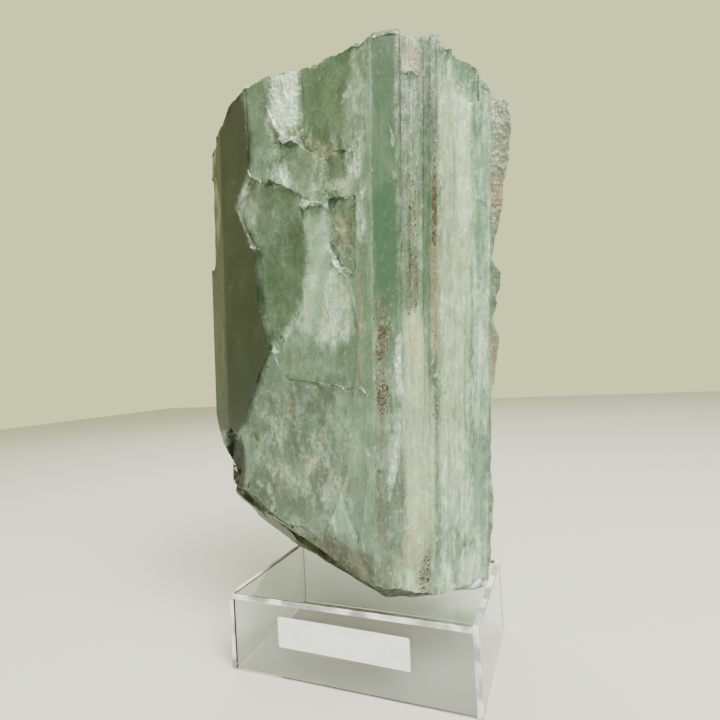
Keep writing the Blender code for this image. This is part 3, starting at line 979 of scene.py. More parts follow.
FRONT_LEFT_PAINT = [
    # the prism face left of the scars lies in the stone's own shade
    *area((59.6, 206), (59.6, 193), (56, 186), (55, 175), (56.4, 165.7), (59.6, 161), (63.3, 154.7),
          (66, 150), (62.4, 142.7), (57.8, 137), (53, 133.5), (52.7, 127), (53, 118), (51.3, 110.5),
          (48.6, 103), (46.5, 97), (51, 88), (55, 80), (60, 70), (61, 66), (68, 60), (95, 60), (95, 206),
          shade=(0.92, 1.2)),
    *area((57, 206), (56, 163), (66, 150), (54, 135), (50, 106), (47, 96), (61, 66), (98, 66), (98, 206),
          smooth=(0.95, 2.0)),
    *area((70, 192), (95, 192), (95, 128), (77, 128), (71, 140), (69, 160), shade=(1.0, 3.0)),
    *area((66, 152), (77, 152), (77, 144), (66, 142), (56, 134), (53, 130), (58, 137), (63, 143),
          shade=(0.85, 2.0)),
    *area((53, 112), (74, 112), (74, 66), (60, 68), (50, 95), deep=(0.55, 5.0)),
    *area((65.5, 151), (62.4, 158.4), (56, 162.5), (54.6, 160.2), (59.6, 154.7), (62.8, 146.5),
          light=(0.8, 1.2), frost=(0.45, 1.5)),
    *area((58.7, 156), (53.6, 158), (53.3, 147), (57.5, 146), brown=(0.6, 1.5)),
    *line((74.6, 124), (74.4, 96), (74.8, 70), frost=(0.35, 0.9)),
    *area((75, 118), (83, 118), (83, 68), (75, 68), light=(0.5, 1.5)),
    *line((67, 124.5), (56, 125), shade=(0.9, 0.8)),
    *area((51, 109), (56, 110), (56, 98), (48, 98), light=(0.3, 2.0)),
    *dots((60, 103, 1.8), (61.5, 101.5, 2), (63, 100.5, 1.2), (77, 95, 1.2), rust=1.0),
    *dots((60.5, 103, 3), brown=0.9),
    *dots((71, 151, 0.9), (64, 122, 0.8), (60, 123, 0.6), (68, 121, 0.7), frost=0.5),
    *line((66, 149.5), (60.5, 141.5), (55, 135.5), (53, 133), shade=(0.95, 4.2)),
    *line((53, 134), (52.6, 120), (52, 112), (48, 100), shade=(0.75, 3.0)),
    *line((65.5, 149.5), (60, 141.5), (55, 135.5), (52.6, 133.5), (52.6, 120), (52, 112), (48, 98),
          smooth=(1.0, 4.0)),
    *line((58.2, 200), (57.4, 176), shade=(0.7, 1.6)),
    *line((58, 166.5), (50, 160), (45, 158.5), shade=(0.6, 1.6)),
    *line((64.5, 152), (61, 159), (56, 163), shade=(0.4, 1.6)),
    *line((47, 188), (44, 179), (40, 173.6), (32, 172.5), (26, 167), shade=(0.6, 2.0)),
    *line((18.5, 145), (17.3, 136), (13.5, 126.5), (8, 122), shade=(0.45, 1.6)),
    # facets under the crown, left to right; their light and shade coats are painted highlight and painted
    # shade, by which way each facet faces
    *area((46, 206), (60, 206), (56, 186), (56, 165), (47, 165), (44.5, 180), shade=(0.2, 2.0)),
    *area((50, 176), (56, 174), (56, 164), (47, 164), (46, 172), light=(0.3, 2.5)),
    *area((47, 206), (58, 206), (56, 164), (48, 164), (46, 180), smooth=(0.8, 2.0)),
    *area((37, 202), (48, 202), (47, 178), (41, 171), (37, 182), frost=(0.4, 2.0)),
    *area((43, 197), (31, 197), (29.7, 188), (30.2, 179.6), (31.5, 175.9), (38.5, 175), (44, 179.6),
          (46.7, 182), (44, 190), light=(0.95, 1.2)),
    *area((42, 197), (31, 197), (29.7, 188), (30.2, 179.6), (31.5, 175.9), (38.5, 176), (43, 181),
          (42, 190), frost=(0.55, 1.5)),
    *area((0.8, 206), (30.4, 206), (29.8, 188), (30.2, 177), (25.6, 169.4), (20, 165.7), (12, 164),
          (11, 180), (0.8, 196), deep=(0.6, 0.9)),
    *area((20, 206), (30, 206), (30, 177), (24, 169), (18, 168), (20, 180), shade=(0.22, 3.0)),
    *area((12, 204), (29, 204), (29, 178), (22, 170), (13, 170), smooth=(0.8, 2.0)),
    *area((12, 186), (22, 186), (20, 168), (14, 167), brown=(0.3, 4.0)),
    *line((38.5, 175.4), (31, 174.5), (26.5, 171), (22, 166.7), (13.6, 164), tan=(0.4, 1.3)),
    *line((38, 176.2), (31, 175.4), (26.5, 172), (21, 167), frost=(0.35, 0.9)),
    *area((43.5, 170.5), (38.5, 170), (37, 164), (34.8, 155.3), (41.7, 155.3), (40.5, 164),
          light=(0.75, 0.9)),
    *area((43.5, 170.5), (38.5, 170), (38, 166), (42, 165), frost=(0.35, 1.0)),
    *area((36.6, 173), (31, 174), (25.6, 166.7), (24.7, 161), (26.5, 151), (31, 153.8), (34.8, 156.5),
          (36.6, 164), shade=(0.24, 0.9), smooth=(0.85, 1.5)),
    *area((25.6, 165.7), (19, 164), (17.3, 151), (19, 146.4), (26.5, 150), (25.6, 158), brown=(0.32, 1.2),
          light=(0.22, 1.2)),
    *area((18.2, 164), (10.9, 163), (10.9, 154.7), (17.3, 154.7), shade=(0.34, 0.9), smooth=(0.8, 1.0)),
    *area((17.3, 154), (7, 154.5), (8, 150), (16.4, 150), light=(0.35, 1.0), tan=(0.22, 1.5)),
    *area((18, 149.5), (10, 149.5), (10, 145), (18, 145), light=(0.25, 1.0)),
    # the crushed band beside the ridge
    *area((1.5, 204), (7, 204), (10, 182), (9, 166), (10, 154), (4, 154), (2, 166), frost=(0.38, 1.8)),
    *area((2, 204), (10, 204), (10, 160), (3, 160), shade=(0.1, 2.0)),
    *area((10.5, 163), (8, 164), (5.5, 157), (5.5, 154.5), (9, 155.5), frost=(0.85, 1.0),
          light=(0.8, 1.0)),
    *dots((4.5, 168, 3), (7, 169, 2.2), (9.5, 182, 2.6), (5, 188, 2.4), (3.5, 148, 2.2), (6, 176, 2.2),
          (3.2, 138, 2), frost=0.75),
    *area((2, 154), (8, 154), (6, 144), (8, 134), (3, 128), (2, 140), frost=(0.3, 1.5)),
    # the tongue and what it borders
    *area((27.4, 145.5), (18.2, 145), (17.3, 137), (13.6, 127), (8, 122.5), (7, 108), (12, 98), (24, 99),
          (34.8, 105), (33.9, 108.7), (29.7, 118), (28.8, 127), (27.4, 139), light=(0.8, 0.6)),
    *area((27, 145), (19, 144), (18, 136), (18, 124), (24, 108), (32, 106), (29, 118), (28, 128),
          smooth=(1.0, 1.0)),
    *area((32, 151), (25.6, 146.4), (27.4, 143.6), (28.3, 139), (31, 140), light=(0.45, 0.8),
          smooth=(0.8, 0.8)),
    *line((34.8, 155.2), (30.2, 151), (23.7, 146.2), (18.2, 145.4), frost=(0.45, 0.8)),
    *line((18, 145), (17.3, 137), (14.5, 128), (8, 123.5), frost=(0.5, 0.9)),
    *area((8, 121), (16, 125), (22, 112), (25, 97), (11, 95), (7, 108), frost=(0.55, 3.5)),
    *dots((14, 108, 3), (13, 102, 2.6), (15, 99, 2.2), (12, 124, 1.8), (10, 114, 2), frost=0.75),
    *area((17.3, 143.6), (7, 143), (7, 130), (9, 127), (14, 131), brown=(0.42, 1.6), light=(0.25, 1.6)),
    *area((16, 141), (9, 142), (8, 131), (13, 132), tan=(0.22, 2.0)),
    *dots((12, 134, 2.6), (10, 130.5, 2), shade=0.35),
    *line((4.5, 146), (4, 134), (5.4, 122), (4.8, 110), (5.2, 96), (4.8, 84), brown=(0.6, 1.0)),
    *line((5.4, 122), (4.8, 110), (5.2, 96), (4.8, 86), tan=(0.3, 0.9)),
    *dots((5, 101, 1.6), (4.5, 105, 1.2), frost=0.7),
    # the smooth hollow
    *area((28, 154), (44, 156), (54, 158), (53, 134), (52, 114), (46, 98), (38, 104), (31, 112),
          (29, 130), smooth=(0.9, 3.0)),
    *area((28.5, 150), (34, 155), (44, 156), (53.5, 150), (53, 134), (52, 112), (46, 98), (36, 106),
          (31, 116), shade=(0.34, 2.0)),
    *area((31, 132), (50, 132), (52, 114), (46, 98), (38, 104), (31, 112), deep=(0.3, 3.0)),
    *area((32, 138), (41, 138), (40, 110), (32, 114), shade=(0.14, 3.0)),
    *area((45, 155), (40.4, 155), (41, 146), (42, 139), (44.5, 139), light=(0.42, 1.2)),
    *line((44, 148), (44.8, 141), frost=(0.35, 0.9)),
    *area((46, 118), (35, 116), (34, 112), (46, 113), light=(0.2, 3.0)),
    *dots((39, 128.5, 1.6), frost=0.35),
    *area((34, 106), (46, 99), (42, 86), (14, 86), (12, 98), (24, 100), light=(0.22, 1.5)),
    *line((46.5, 96), (43, 88), (40, 83), (34, 81), (24, 82), (8, 84), frost=(0.28, 0.9)),
    *line((40, 92), (36, 91), (32, 92), brown=(0.3, 2.0)),
    # creases, veils and clay below
    *line((40, 81), (35, 74), (28, 66), (21, 54), (16, 49), (10, 41), (6, 33), (5, 25), frost=(0.4, 0.9)),
    *area((3, 84), (14, 83), (14, 70), (9, 64), (2, 61), light=(0.35, 1.2), smooth=(0.6, 2.0)),
    *line((16, 69), (12, 68), (8, 63), (1, 60), frost=(0.4, 0.9)),
    *area((10, 84), (46, 86), (58, 76), (62, 60), (62, 44), (40, 28), (8, 28), smooth=(0.45, 4.0)),
    *area((10, 98), (46, 98), (58, 76), (62, 60), (62, 44), (44, 30), (22, 28), shade=(0.19, 4.0)),
    *area((18, 60), (34, 74), (46, 84), (56, 76), (60, 60), (60, 44), (46, 38), (30, 34), (18, 38),
          veil=(0.8, 4.0)),
    *area((24, 52), (44, 68), (58, 66), (58, 46), (44, 42), (28, 46), frost=(0.16, 6.0)),
    *dots((38, 73, 3.4), (39, 69, 2.4), (28, 53, 4), (22, 55, 3), (12, 48, 3.4), (15, 51, 2.6),
          (44, 40, 2.2), tan=0.35),
    *dots((30, 52, 4), (25, 54, 3.5), (14, 49, 3.5), (45, 43, 3), (58, 58, 3), (56, 47, 2.5), (38, 70, 3),
          frost=0.34),
    *area((5, 84), (17, 82), (14, 50), (5, 28), (1, 28), (1, 84), light=(0.3, 3.0)),
    *area((8, 46), (22, 44), (22, 30), (8, 28), light=(0.5, 3.0)),
    *line((58, 62), (56, 58), (56, 52), brown=(1.0, 1.8)),
    *line((58, 61), (56.5, 58), shade=(0.9, 1.2)),
    *area((65, 57), (70, 58), (75, 52), (74, 39), (66, 36), (64, 46), shade=(1.5, 1.2),
          smooth=(1.0, 1.2)),
    *area((61, 42), (52, 39), (46, 38), (50, 31), (56, 29), (63, 34), deep=(0.9, 1.0)),
    *area((61, 42), (50, 38), (52, 30), (63, 34), shade=(0.35, 1.2)),
    *line((60, 42), (52, 39), (46, 38), (49, 31), frost=(0.7, 0.9)),
    *dots((20, 38, 2.4), (18.5, 33, 3), (16.5, 29.5, 1.8), (22, 41, 1.8), frost=0.6),
    *dots((20, 37, 3), (18, 32, 3), light=0.6),
    *area((24, 44), (36, 42), (34, 36), (24, 36), deep=(0.35, 2.0)),
    # under the slope the break is brown, and darkened with painted shade where it faces down
    *area((68, 36), (58, 31), (50, 26), (40, 25), (28, 25), (16, 25), (0, 24), (0, -5), (90, -5),
          (90, 30), shade=(0.45, 1.2)),
    *area((44, 25), (30, 25), (8, 25), (0, 22), (0, 0), (44, 0), brown=(0.6, 2.0)),
    *line((46, 25.5), (30, 23), (16, 21), (2, 18), light=(0.7, 1.3)),
    *line((40, 22), (25, 19.5), (10, 16.5), tan=(0.4, 1.2)),
    *line((30, 18), (16, 14), (4, 12.5), light=(0.6, 1.2)),
    *line((10, 24), (5, 20), (3, 14), tan=(0.4, 2.5)),
]

FRONT_RIGHT_PAINT = [
    # the left half is clearer than the right, above all near the top
    *area((0.3, 208), (26, 208), (26, 112), (0.3, 106), shade=(0.3, 3.0)),
    *area((0.3, 120), (12, 120), (12, 10), (0.3, 10), shade=(0.18, 4.0)),
    # the clear band beside the ridge
    *area((0.5, 183), (8.6, 187), (9, 170), (9.5, 145), (9.5, 120), (0.5, 116), deep=(1.0, 0.6),
          shade=(0.38, 1.0), smooth=(1.0, 1.0)),
    *area((0.5, 122), (11, 122), (11, 104), (0.5, 104), deep=(0.6, 4.0)),
    *area((0, 206), (10, 206), (9, 186), (0.5, 182), deep=(0.75, 1.5), shade=(0.42, 1.5),
          smooth=(1.0, 1.5)),
    *line((11.3, 204), (11.3, 168), shade=(0.6, 0.7)),
    *line((10.4, 204), (10.4, 178), shade=(0.4, 0.6)),
    # white specks along the clear band: crushed stone, and painted glints
    *dots((5.6, 178, 0.9), (5.2, 175, 0.7), (6.8, 172, 0.8), (7.5, 168, 0.9), (8.2, 165.5, 1.5),
          (9.2, 161, 0.8), (8.6, 156, 1.2), (8.3, 152.5, 0.9), (9, 148, 0.7), (9.6, 143, 0.7),
          (9.4, 132.5, 0.9), (2.2, 120, 0.7), (8, 138, 0.6), frost=0.75),
    # pale strip, then the narrow green one
    *area((11.6, 190), (19.5, 190), (19.5, 60), (11.6, 60), light=(0.18, 0.8)),
    *area((12, 188), (19, 188), (16, 158), (12, 158), frost=(0.3, 2.5)),
    *area((20.4, 206), (23.2, 206), (23.2, 128), (20.6, 128), deep=(0.8, 0.8)),
    *area((20.4, 130), (23.2, 130), (23.2, 70), (20.6, 70), deep=(0.45, 0.5)),
    *area((12.5, 200), (17.5, 201), (18, 190), (13, 190), tan=(0.55, 2.0)),
    *line((17, 201), (17, 188), frost=(0.7, 0.7)),
    *line((11.4, 189.5), (22, 190.5), frost=(0.5, 0.7)),
    *area((12, 208), (34, 208), (33, 200), (12, 201), frost=(0.4, 1.6)),
    # iron
    *area((23.4, 188), (26.4, 186), (26.2, 150), (27, 120), (26, 100), (23.4, 100), brown=(0.34, 1.2)),
    *area((23.4, 134), (26.5, 132), (26, 92), (23.4, 92), tan=(0.3, 1.6)),
    *area((23.6, 153), (26, 152), (25.6, 134), (23.8, 134), rust=(1.0, 0.8)),
    *area((23.8, 173), (25.6, 171), (26.2, 152), (23.6, 152), rust=(0.62, 1.0)),
    *area((23.4, 188), (25.4, 186), (25.8, 96), (23.4, 96), rust=(0.46, 1.2)),
    *dots((24.6, 151, 1.8), (25.2, 146, 1.8), (24.2, 141, 1.8), (24.6, 136, 1.6), rust=1.0),
    *dots((17, 96, 2.2), (16.5, 92, 1.8), tan=0.5),
    *dots((26.6, 135, 2), (27.2, 134, 1.4), brown=0.8),
    *area((12.5, 158), (18.5, 158), (18.5, 108), (12.5, 108), rust=(0.5, 1.4), brown=(0.22, 1.4)),
    *area((1, 112), (5, 110), (8, 104), (6, 96), (4, 90), (7, 84), (7, 76), (3, 72), (0.5, 78),
          (0.5, 104), rust=(0.62, 2.4)),
    *dots((4, 102, 3), (3, 80, 3.2), (5, 83, 2.4), (2, 55, 1.6), (2.6, 94, 2), rust=1.2),
    *area((0.5, 116), (4, 114), (5, 70), (3, 30), (0.5, 20), brown=(0.3, 2.0)),
    *area((0.5, 116), (6, 114), (6, 70), (4, 30), (0.5, 20), shade=(0.2, 2.0)),
    *dots((29.5, 84, 1.3), (29.8, 80, 1.4), (29.4, 75, 1.1), (29.8, 71, 1), (24.4, 86, 1),
          (24.2, 72, 0.9), rust=0.8),
    *area((18, 19), (23, 19), (23, 5), (18, 5), rust=(0.7, 1.2)),
    *area((16, 22), (24, 22), (24, 4), (16, 4), brown=(0.35, 1.6)),
    # white lenses of crushed stone in the lower part of the band
    *line((10, 100), (9.5, 92), (10.5, 82), frost=(0.8, 2.2)),
    *line((9, 70), (8.5, 60), (7, 50), (6, 45), frost=(0.75, 2.2)),
    *area((5, 74), (11, 74), (11, 62), (7, 46), (4.5, 50), (6, 62), light=(0.65, 1.2)),
    # cream and tan in the middle
    *area((12, 108), (19, 108), (25, 70), (25, 18), (12, 18), cream=(0.85, 1.6), light=(0.45, 2.0)),
    *area((13, 32), (21, 40), (24, 28), (19, 16), (12, 18), tan=(0.22, 3.0)),
    *line((16.5, 104), (17, 90), tan=(0.3, 1.8)),
    *line((14, 74), (14.5, 56), tan=(0.18, 1.6)),
    *area((0.5, 30), (12, 24), (12, 12), (0.5, 13), brown=(0.35, 3.0)),
    *line((12, 32), (18, 31.5), frost=(0.6, 1.0)),
    *line((17, 46), (20, 44), (22, 42), frost=(0.7, 1.4)),
    *line((18, 70), (28, 69), frost=(0.3, 0.7)),
    # the right half: pale, finely streaked, greener to the right
    *area((27, 196), (42, 192), (42, 4), (27, 4), light=(0.6, 2.0)),
    *area((26.6, 190), (33, 190), (33.5, 124), (31, 110), (26.6, 112), shade=(0.15, 2.0)),
    *area((35, 186), (39.5, 186), (40, 110), (35.5, 110), light=(0.85, 1.5)),
    *area((28.5, 112), (31, 112), (31.5, 20), (28.5, 20), light=(0.75, 1.2)),
    *area((41, 196), (50, 192), (50, 4), (41, 4), light=(0.46, 2.0)),
    *area((9, 17), (44, 17), (44, 2), (9, 2), light=(0.9, 2.5)),
    *area((27, 190), (42, 188), (42, 120), (37, 60), (32, 30), (27, 60), cream=(0.75, 2.5)),
    *area((38, 186), (42, 186), (42, 140), (39, 110), (37, 120), frost=(0.26, 2.5)),
    *area((42, 62), (49.5, 62), (49.5, 28), (43, 28), deep=(0.5, 2.0)),
    *area((42.5, 151), (48, 151), (47, 120), (43, 124), deep=(0.42, 1.4)),
    *area((40, 176), (49, 176), (49, 155), (41, 152), deep=(0.28, 2.0)),
    *area((26.8, 100), (28.2, 100), (28.2, 12), (26.8, 12), deep=(0.35, 1.0)),
    *line((28, 188), (28, 12), frost=(0.45, 0.6)),
    *line((34, 184), (34, 16), frost=(0.35, 0.6)),
    *line((42, 128), (42, 10), frost=(0.4, 0.6)),
    *line((49.3, 180), (49.3, 20), frost=(0.35, 0.7)),
    *line((26, 98), (38, 96.5), (50, 95.3), frost=(0.45, 0.7)),
    *line((11.5, 136), (24, 136.5), frost=(0.25, 0.6)),
    *line((35, 149), (47, 150), shade=(0.15, 0.8)),
    *line((30, 27), (40, 25.5), frost=(0.45, 0.7)),
    *area((39, 22), (47, 22), (46, 5), (40, 5), frost=(0.4, 2.5)),
    *area((33, 203), (45, 201), (44, 187), (33.5, 186), deep=(0.62, 1.5), shade=(0.1, 1.5)),
    *area((16, 208), (33, 208), (33, 196), (20, 196), deep=(0.45, 1.5)),
    *area((10, 208), (33, 208), (33, 198), (10, 200), shade=(0.14, 2.0)),
    # painted light on the side of the step at the top right, which lies in shade
    *line((44, 198), (44, 185), light=(0.9, 1.2)),
    *dots((37, 185, 1.8), (40, 184, 1.6), (35, 188, 1.4), (42, 188, 1.4), frost=0.9),
    # the rough rim
    *area((50.5, 192), (66, 192), (66, 158), (51, 158), brown=(0.65, 2.0)),
    *area((50.5, 184), (66, 184), (66, 84), (50.5, 84), shade=(0.3, 2.0)),
    *area((50.5, 160), (66, 160), (60, 142), (50.5, 142), tan=(0.5, 2.5)),
    *area((50.5, 162), (66, 162), (60, 144), (50.5, 144), brown=(0.85, 2.5)),
    *area((50.5, 158), (66, 158), (60, 144), (50.5, 144), rust=(0.55, 2.0)),
    *area((50.5, 98), (60, 98), (59, 84), (50.5, 84), tan=(0.5, 2.0)),
    *area((50.5, 100), (60, 100), (59, 86), (50.5, 86), brown=(0.8, 2.0)),
    *area((50.5, 98), (60, 98), (59, 88), (50.5, 88), rust=(0.5, 2.0)),
    *area((50.5, 194), (66, 194), (66, 182), (51, 184), frost=(0.3, 2.0)),
    *area((50.5, 140), (60, 140), (60, 100), (50.5, 100), frost=(0.15, 2.0)),
]


@dataclass
class Crystal:
    """The beryl prism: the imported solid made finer, roughened and painted."""

    front_edge: float = 1.2         # longest edge on the two front faces, mm
    crown_edge: float = 1.4         # ... on the crown
    far_edge: float = 4.0           # ... and on the rest
    front_skin: float = 9.0         # how far behind the front faces counts as front, mm
    crown_level: float = 180.0      # the crown starts this far up, mm
    most: int = 190_000             # triangles in the finished piece
    rim_start: float = 49.5         # the rough right rim starts this far across, mm
    rim_heading: float = 112.0      # its front is the part less far than this, towards this
    rim_reach: float = 30.0
    # (size, depth) of the scoops in the broken rim, crown and underside, of the notches in
    # the crown's edge, and of the flakes off the crushed places, mm
    breaks: tuple[tuple[float, float], ...] = ((8.5, 1.8), (4.0, 1.3), (2.2, 0.6))
    notches: tuple[tuple[float, float], ...] = ((8.0, 3.0), (4.0, 1.2))
    flakes: tuple[tuple[float, float], ...] = ((11.0, 3.0), (5.0, 1.6), (2.6, 0.6))
    weld: float = 0.002             # corners closer than this are one, mm
    level: float = 0.3              # faces that meet flatter than this are one, degrees
    left_side: tuple[str, ...] = ("front_left", "corner", "left")
    crease: float = 28.0            # edges sharper than this stay crisp, degrees
    foot_fade: float = 1.2          # the foot's plane stays flat up to this height, mm
    frame: CrystalFrame = field(default_factory=CrystalFrame)

    def build(self) -> bpy.types.Object:
        """Make the crystal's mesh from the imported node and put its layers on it.

        Returns:
            The finished piece, standing for the CAD node.
        """
        points, triangles = self.solid()
        points, triangles = refined(points, triangles, self.wanted)
        points, triangles = thinned(points, triangles, self.most)
        normals = self.vertex_normals(points, triangles)
        nearest = self.nearest_faces(points)
        layers = self.painted(points, normals, nearest)
        points = self.roughened(points, triangles, normals, layers)
        mesh = bpy.data.meshes.new("crystal_body")
        mesh.from_pydata((self.inside(points) * MM).tolist(), [], triangles.tolist())
        mesh.validate()
        for pigment, values in layers.items():
            stored = mesh.attributes.new(pigment.value, "FLOAT", "POINT")
            stored.data.foreach_set("value", values.astype(np.float32))
        self.unroll(mesh, points, triangles)
        mesh.shade_smooth()
        mesh.set_sharp_from_angle(angle=radians(self.crease))
        piece = shown("crystal_body", mesh, Beryl().material())
        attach(piece, BODY)
        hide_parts("aquamarine_crystal")
        return piece

    def solid(self) -> tuple[np.ndarray, np.ndarray]:
        """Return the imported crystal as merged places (crystal frame, mm) and triangles."""
        bm = bmesh.new()
        bm.from_mesh(frame["nodes"]["aquamarine_crystal"].data)
        bmesh.ops.remove_doubles(bm, verts=bm.verts[:], dist=self.weld * MM)
        bmesh.ops.triangulate(bm, faces=bm.faces[:])
        flat = [edge for edge in bm.edges
                if len(edge.link_faces) == 2 and edge.calc_face_angle() < radians(self.level)]
        bmesh.ops.beautify_fill(bm, faces=bm.faces[:], edges=flat)
        bm.verts.index_update()
        points = np.array([vertex.co for vertex in bm.verts]) / MM
        triangles = np.array([[vertex.index for vertex in face.verts] for face in bm.faces])
        bm.free()
        return self.frame.inward(points), triangles

    def inside(self, points: np.ndarray) -> np.ndarray:
        """Return world places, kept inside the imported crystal's box."""
        low, high = (np.array(corner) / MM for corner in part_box("aquamarine_crystal"))
        return np.clip(self.frame.outward(points), low, high)

    def wanted(self, points: np.ndarray) -> np.ndarray:
        """Set how fine the mesh is.

        Args:
            points: places in the crystal's frame.

        Returns:
            The longest edge allowed at each.
        """
        front = np.minimum(np.abs(self.frame.front_left.depth(points)),
                           np.abs(self.frame.front_right.depth(points)))
        length = np.where(front < self.front_skin, self.front_edge, self.far_edge)
        return np.where(points[:, 2] > self.crown_level, np.minimum(length, self.crown_edge),
                        length)

    @staticmethod
    def vertex_normals(points: np.ndarray, triangles: np.ndarray) -> np.ndarray:
        """Average the directions of the triangles round each vertex by their areas.

        Args:
            points: vertex places.
            triangles: three vertex numbers each.

        Returns:
            A unit normal for each vertex.
        """
        a, b, c = (points[triangles[:, k]] for k in range(3))
        flat = np.cross(b - a, c - a)
        normals = np.zeros_like(points)
        for k in range(3):
            np.add.at(normals, triangles[:, k], flat)
        return normals / np.maximum(np.linalg.norm(normals, axis=1), 1e-12)[:, None]

    def nearest_faces(self, points: np.ndarray) -> np.ndarray:
        """Return the number of the prism face that each place lies least deep behind."""
        return self.frame.depths(points).argmin(0)

    def painted(self, points: np.ndarray, normals: np.ndarray,
                nearest: np.ndarray) -> dict[Pigment, np.ndarray]:
        """Lay every pigment on the crystal.

        Args:
            points: vertex places in the crystal's frame.
            normals: which way the surface faces there.
            nearest: the number of the prism face that each lies behind.

        Returns:
            Each layer's strength at each vertex.
        """
        names = list(self.frame.faces)
        left = np.isin(nearest, [names.index(name) for name in self.left_side])
        right = nearest == names.index("front_right")
        rim = self.frame.front_right.run(points) > self.rim_start
        front_rim = rim & (points @ heading(self.rim_heading) < self.rim_reach)
        layers = {pigment: np.zeros(len(points)) for pigment in Pigment}
        loose = (noise_at(points, 7.0, 2.0)[:, :2] * 0.9 + noise_at(points, 2.2, 5.0)[:, :2] * 0.5)
        tight = loose * (0.4, 2.6)
        for mask, face, paint, shift in (
                (left & ~rim, self.frame.front_left, FRONT_LEFT_PAINT, loose),
                (right | front_rim, self.frame.front_right, FRONT_RIGHT_PAINT, tight)):
            places = face.seen(points[mask], self.frame.eye) + shift[mask]
            for coat in paint:
                layer = layers[coat.pigment]
                layer[mask] = np.maximum(layer[mask], coat.cover(places))
        self.paint_far_side(points, normals, ~(left | right | rim), layers)
        depth = self.frame.depths(points).min(0)
        broken = np.maximum.reduce((
            0.75 * rise(depth, 1.5, 2.4), 0.9 * rise(normals[:, 2], 0.35, 0.7),
            0.9 * rise(-normals[:, 2], 0.2, 0.5),
            0.55 * rise(self.frame.front_right.run(points), 50.0, 51.5)))
        layers[P.CRUMBLE] = np.maximum(broken * (1.0 - 0.85 * layers[P.SMOOTH]),
                                       0.5 * layers[P.FROST])
        grown = (1.0 - rise(depth, 1.5, 2.2)) * rise(0.5 - np.abs(normals[:, 2]), 0.0, 0.2)
        layers[P.GROWN] = grown * np.where(left & ~right, 0.3, 1.0) * (1.0 - 0.5 * rim)
        for pigment in layers:
            layers[pigment] = np.clip(layers[pigment], 0.0, 1.5)
        return layers

    def paint_far_side(self, points: np.ndarray, normals: np.ndarray, far: np.ndarray,
                       layers: dict[Pigment, np.ndarray]) -> None:
        """Paint the sides that aren't facing the front, and the crown and underside.

        Args:
            points: vertex places in the crystal's frame.
            normals: which way the surface faces there.
            far: which vertices lie on those sides.
            layers: the strengths, which this adds to.
        """
        crown = rise(normals[:, 2], 0.45, 0.75)
        under = rise(-normals[:, 2], 0.25, 0.55)
        lumps = noise_at(points, 9.0, 4.0)
        stretched = noise_at(points * (1.0, 1.0, 0.06), 5.0, 6.0)
        side = far * (1.0 - crown) * (1.0 - under)
        iron = lumps[:, 2] + 0.4 * stretched[:, 0]
        layers[P.LIGHT] += side * rise(stretched[:, 0], -0.1, 0.5) * 0.7
        layers[P.DEEP] += side * rise(stretched[:, 1], 0.05, 0.5) * 0.8
        layers[P.CREAM] += side * rise(stretched[:, 2], 0.1, 0.6) * 0.7
        layers[P.RUST] += side * rise(iron, 0.35, 0.7) * 0.7
        layers[P.BROWN] += side * rise(iron, 0.25, 0.7) * 0.4
        layers[P.FROST] = np.maximum(layers[P.FROST], crown * (0.40 + 0.6 * lumps[:, 0]))
        layers[P.LIGHT] = np.maximum(layers[P.LIGHT], crown * 0.5)
        layers[P.BROWN] = np.maximum(layers[P.BROWN], under * (0.45 + 0.6 * lumps[:, 1]))
        # painted shade on the underside, where it faces down
        layers[P.SHADE] = np.maximum(layers[P.SHADE], under * 0.35)

    def roughened(self, points: np.ndarray, triangles: np.ndarray, normals: np.ndarray,
                  layers: dict[Pigment, np.ndarray]) -> np.ndarray:
        """Move vertices in and out where the stone is broken or crushed.

        Args:
            points: vertex places in the crystal's frame.
            triangles: three vertex numbers each.
            normals: which way the surface faces at each vertex.
            layers: the painted strengths.

        Returns:
            The moved places.
        """
        crown = smoothed(rise(normals[:, 2], 0.35, 0.7), triangles, 3)
        under = rise(-normals[:, 2], 0.2, 0.5)
        rim = rise(self.frame.front_right.run(points), 50.2, 52.0)
        coarse = np.maximum.reduce((crown, under, rim))
        fine = np.clip(layers[P.CRUMBLE], 0.0, 1.0) * (1.0 - coarse)
        flat = rise(self.frame.outward(points)[:, 2], FOOT_LEVEL + 0.05,
                    FOOT_LEVEL + self.foot_fade)
        push = np.zeros(len(points))
        for salt, (size, depth) in enumerate(self.breaks):
            push += coarse * depth * scoops(points, size, salt)
        for salt, (size, depth) in enumerate(self.flakes):
            push += fine * depth * scoops(points * (1.0, 1.0, 0.8), size, salt + 7)
        wander = noise_at(points, 3.0, 1.0) * 0.35 * np.maximum(coarse, 0.5 * fine)[:, None]
        push = smoothed(push, triangles, 1)
        moved = points + (normals * push[:, None] + wander) * flat[:, None]
        for salt, (size, depth) in enumerate(self.notches):
            drop = scoops(points * (1.0, 1.0, 0.05), size, salt + 21) + 0.35
            moved[:, 2] -= rise(crown, 0.1, 0.4) * depth * drop
        return moved

    def unroll(self, mesh: bpy.types.Mesh, points: np.ndarray, triangles: np.ndarray) -> None:
        """Store how far round the prism and how far up each corner lies.

        Args:
            mesh: the crystal's mesh, which gets the layer.
            points: its vertices' places in the crystal's frame before they were roughened.
            triangles: three vertex numbers each.
        """
        which = self.nearest_faces(points[triangles].mean(1))
        corners = points[triangles]
        layer = mesh.uv_layers.new(name=GROWTH)
        values = np.zeros((len(triangles), 3, 2))
        for number, face in enumerate(self.frame.faces.values()):
            chosen = which == number
            flat = corners[chosen].reshape(-1, 3)
            run = face.run(flat) + face.girth
            values[chosen] = np.stack((run, flat[:, 2]), 1).reshape(-1, 3, 2)
        layer.data.foreach_set("uv", (values.reshape(-1) / UV_UNIT).astype(np.float32))


# ---------------------------------------------------------------- iron grains

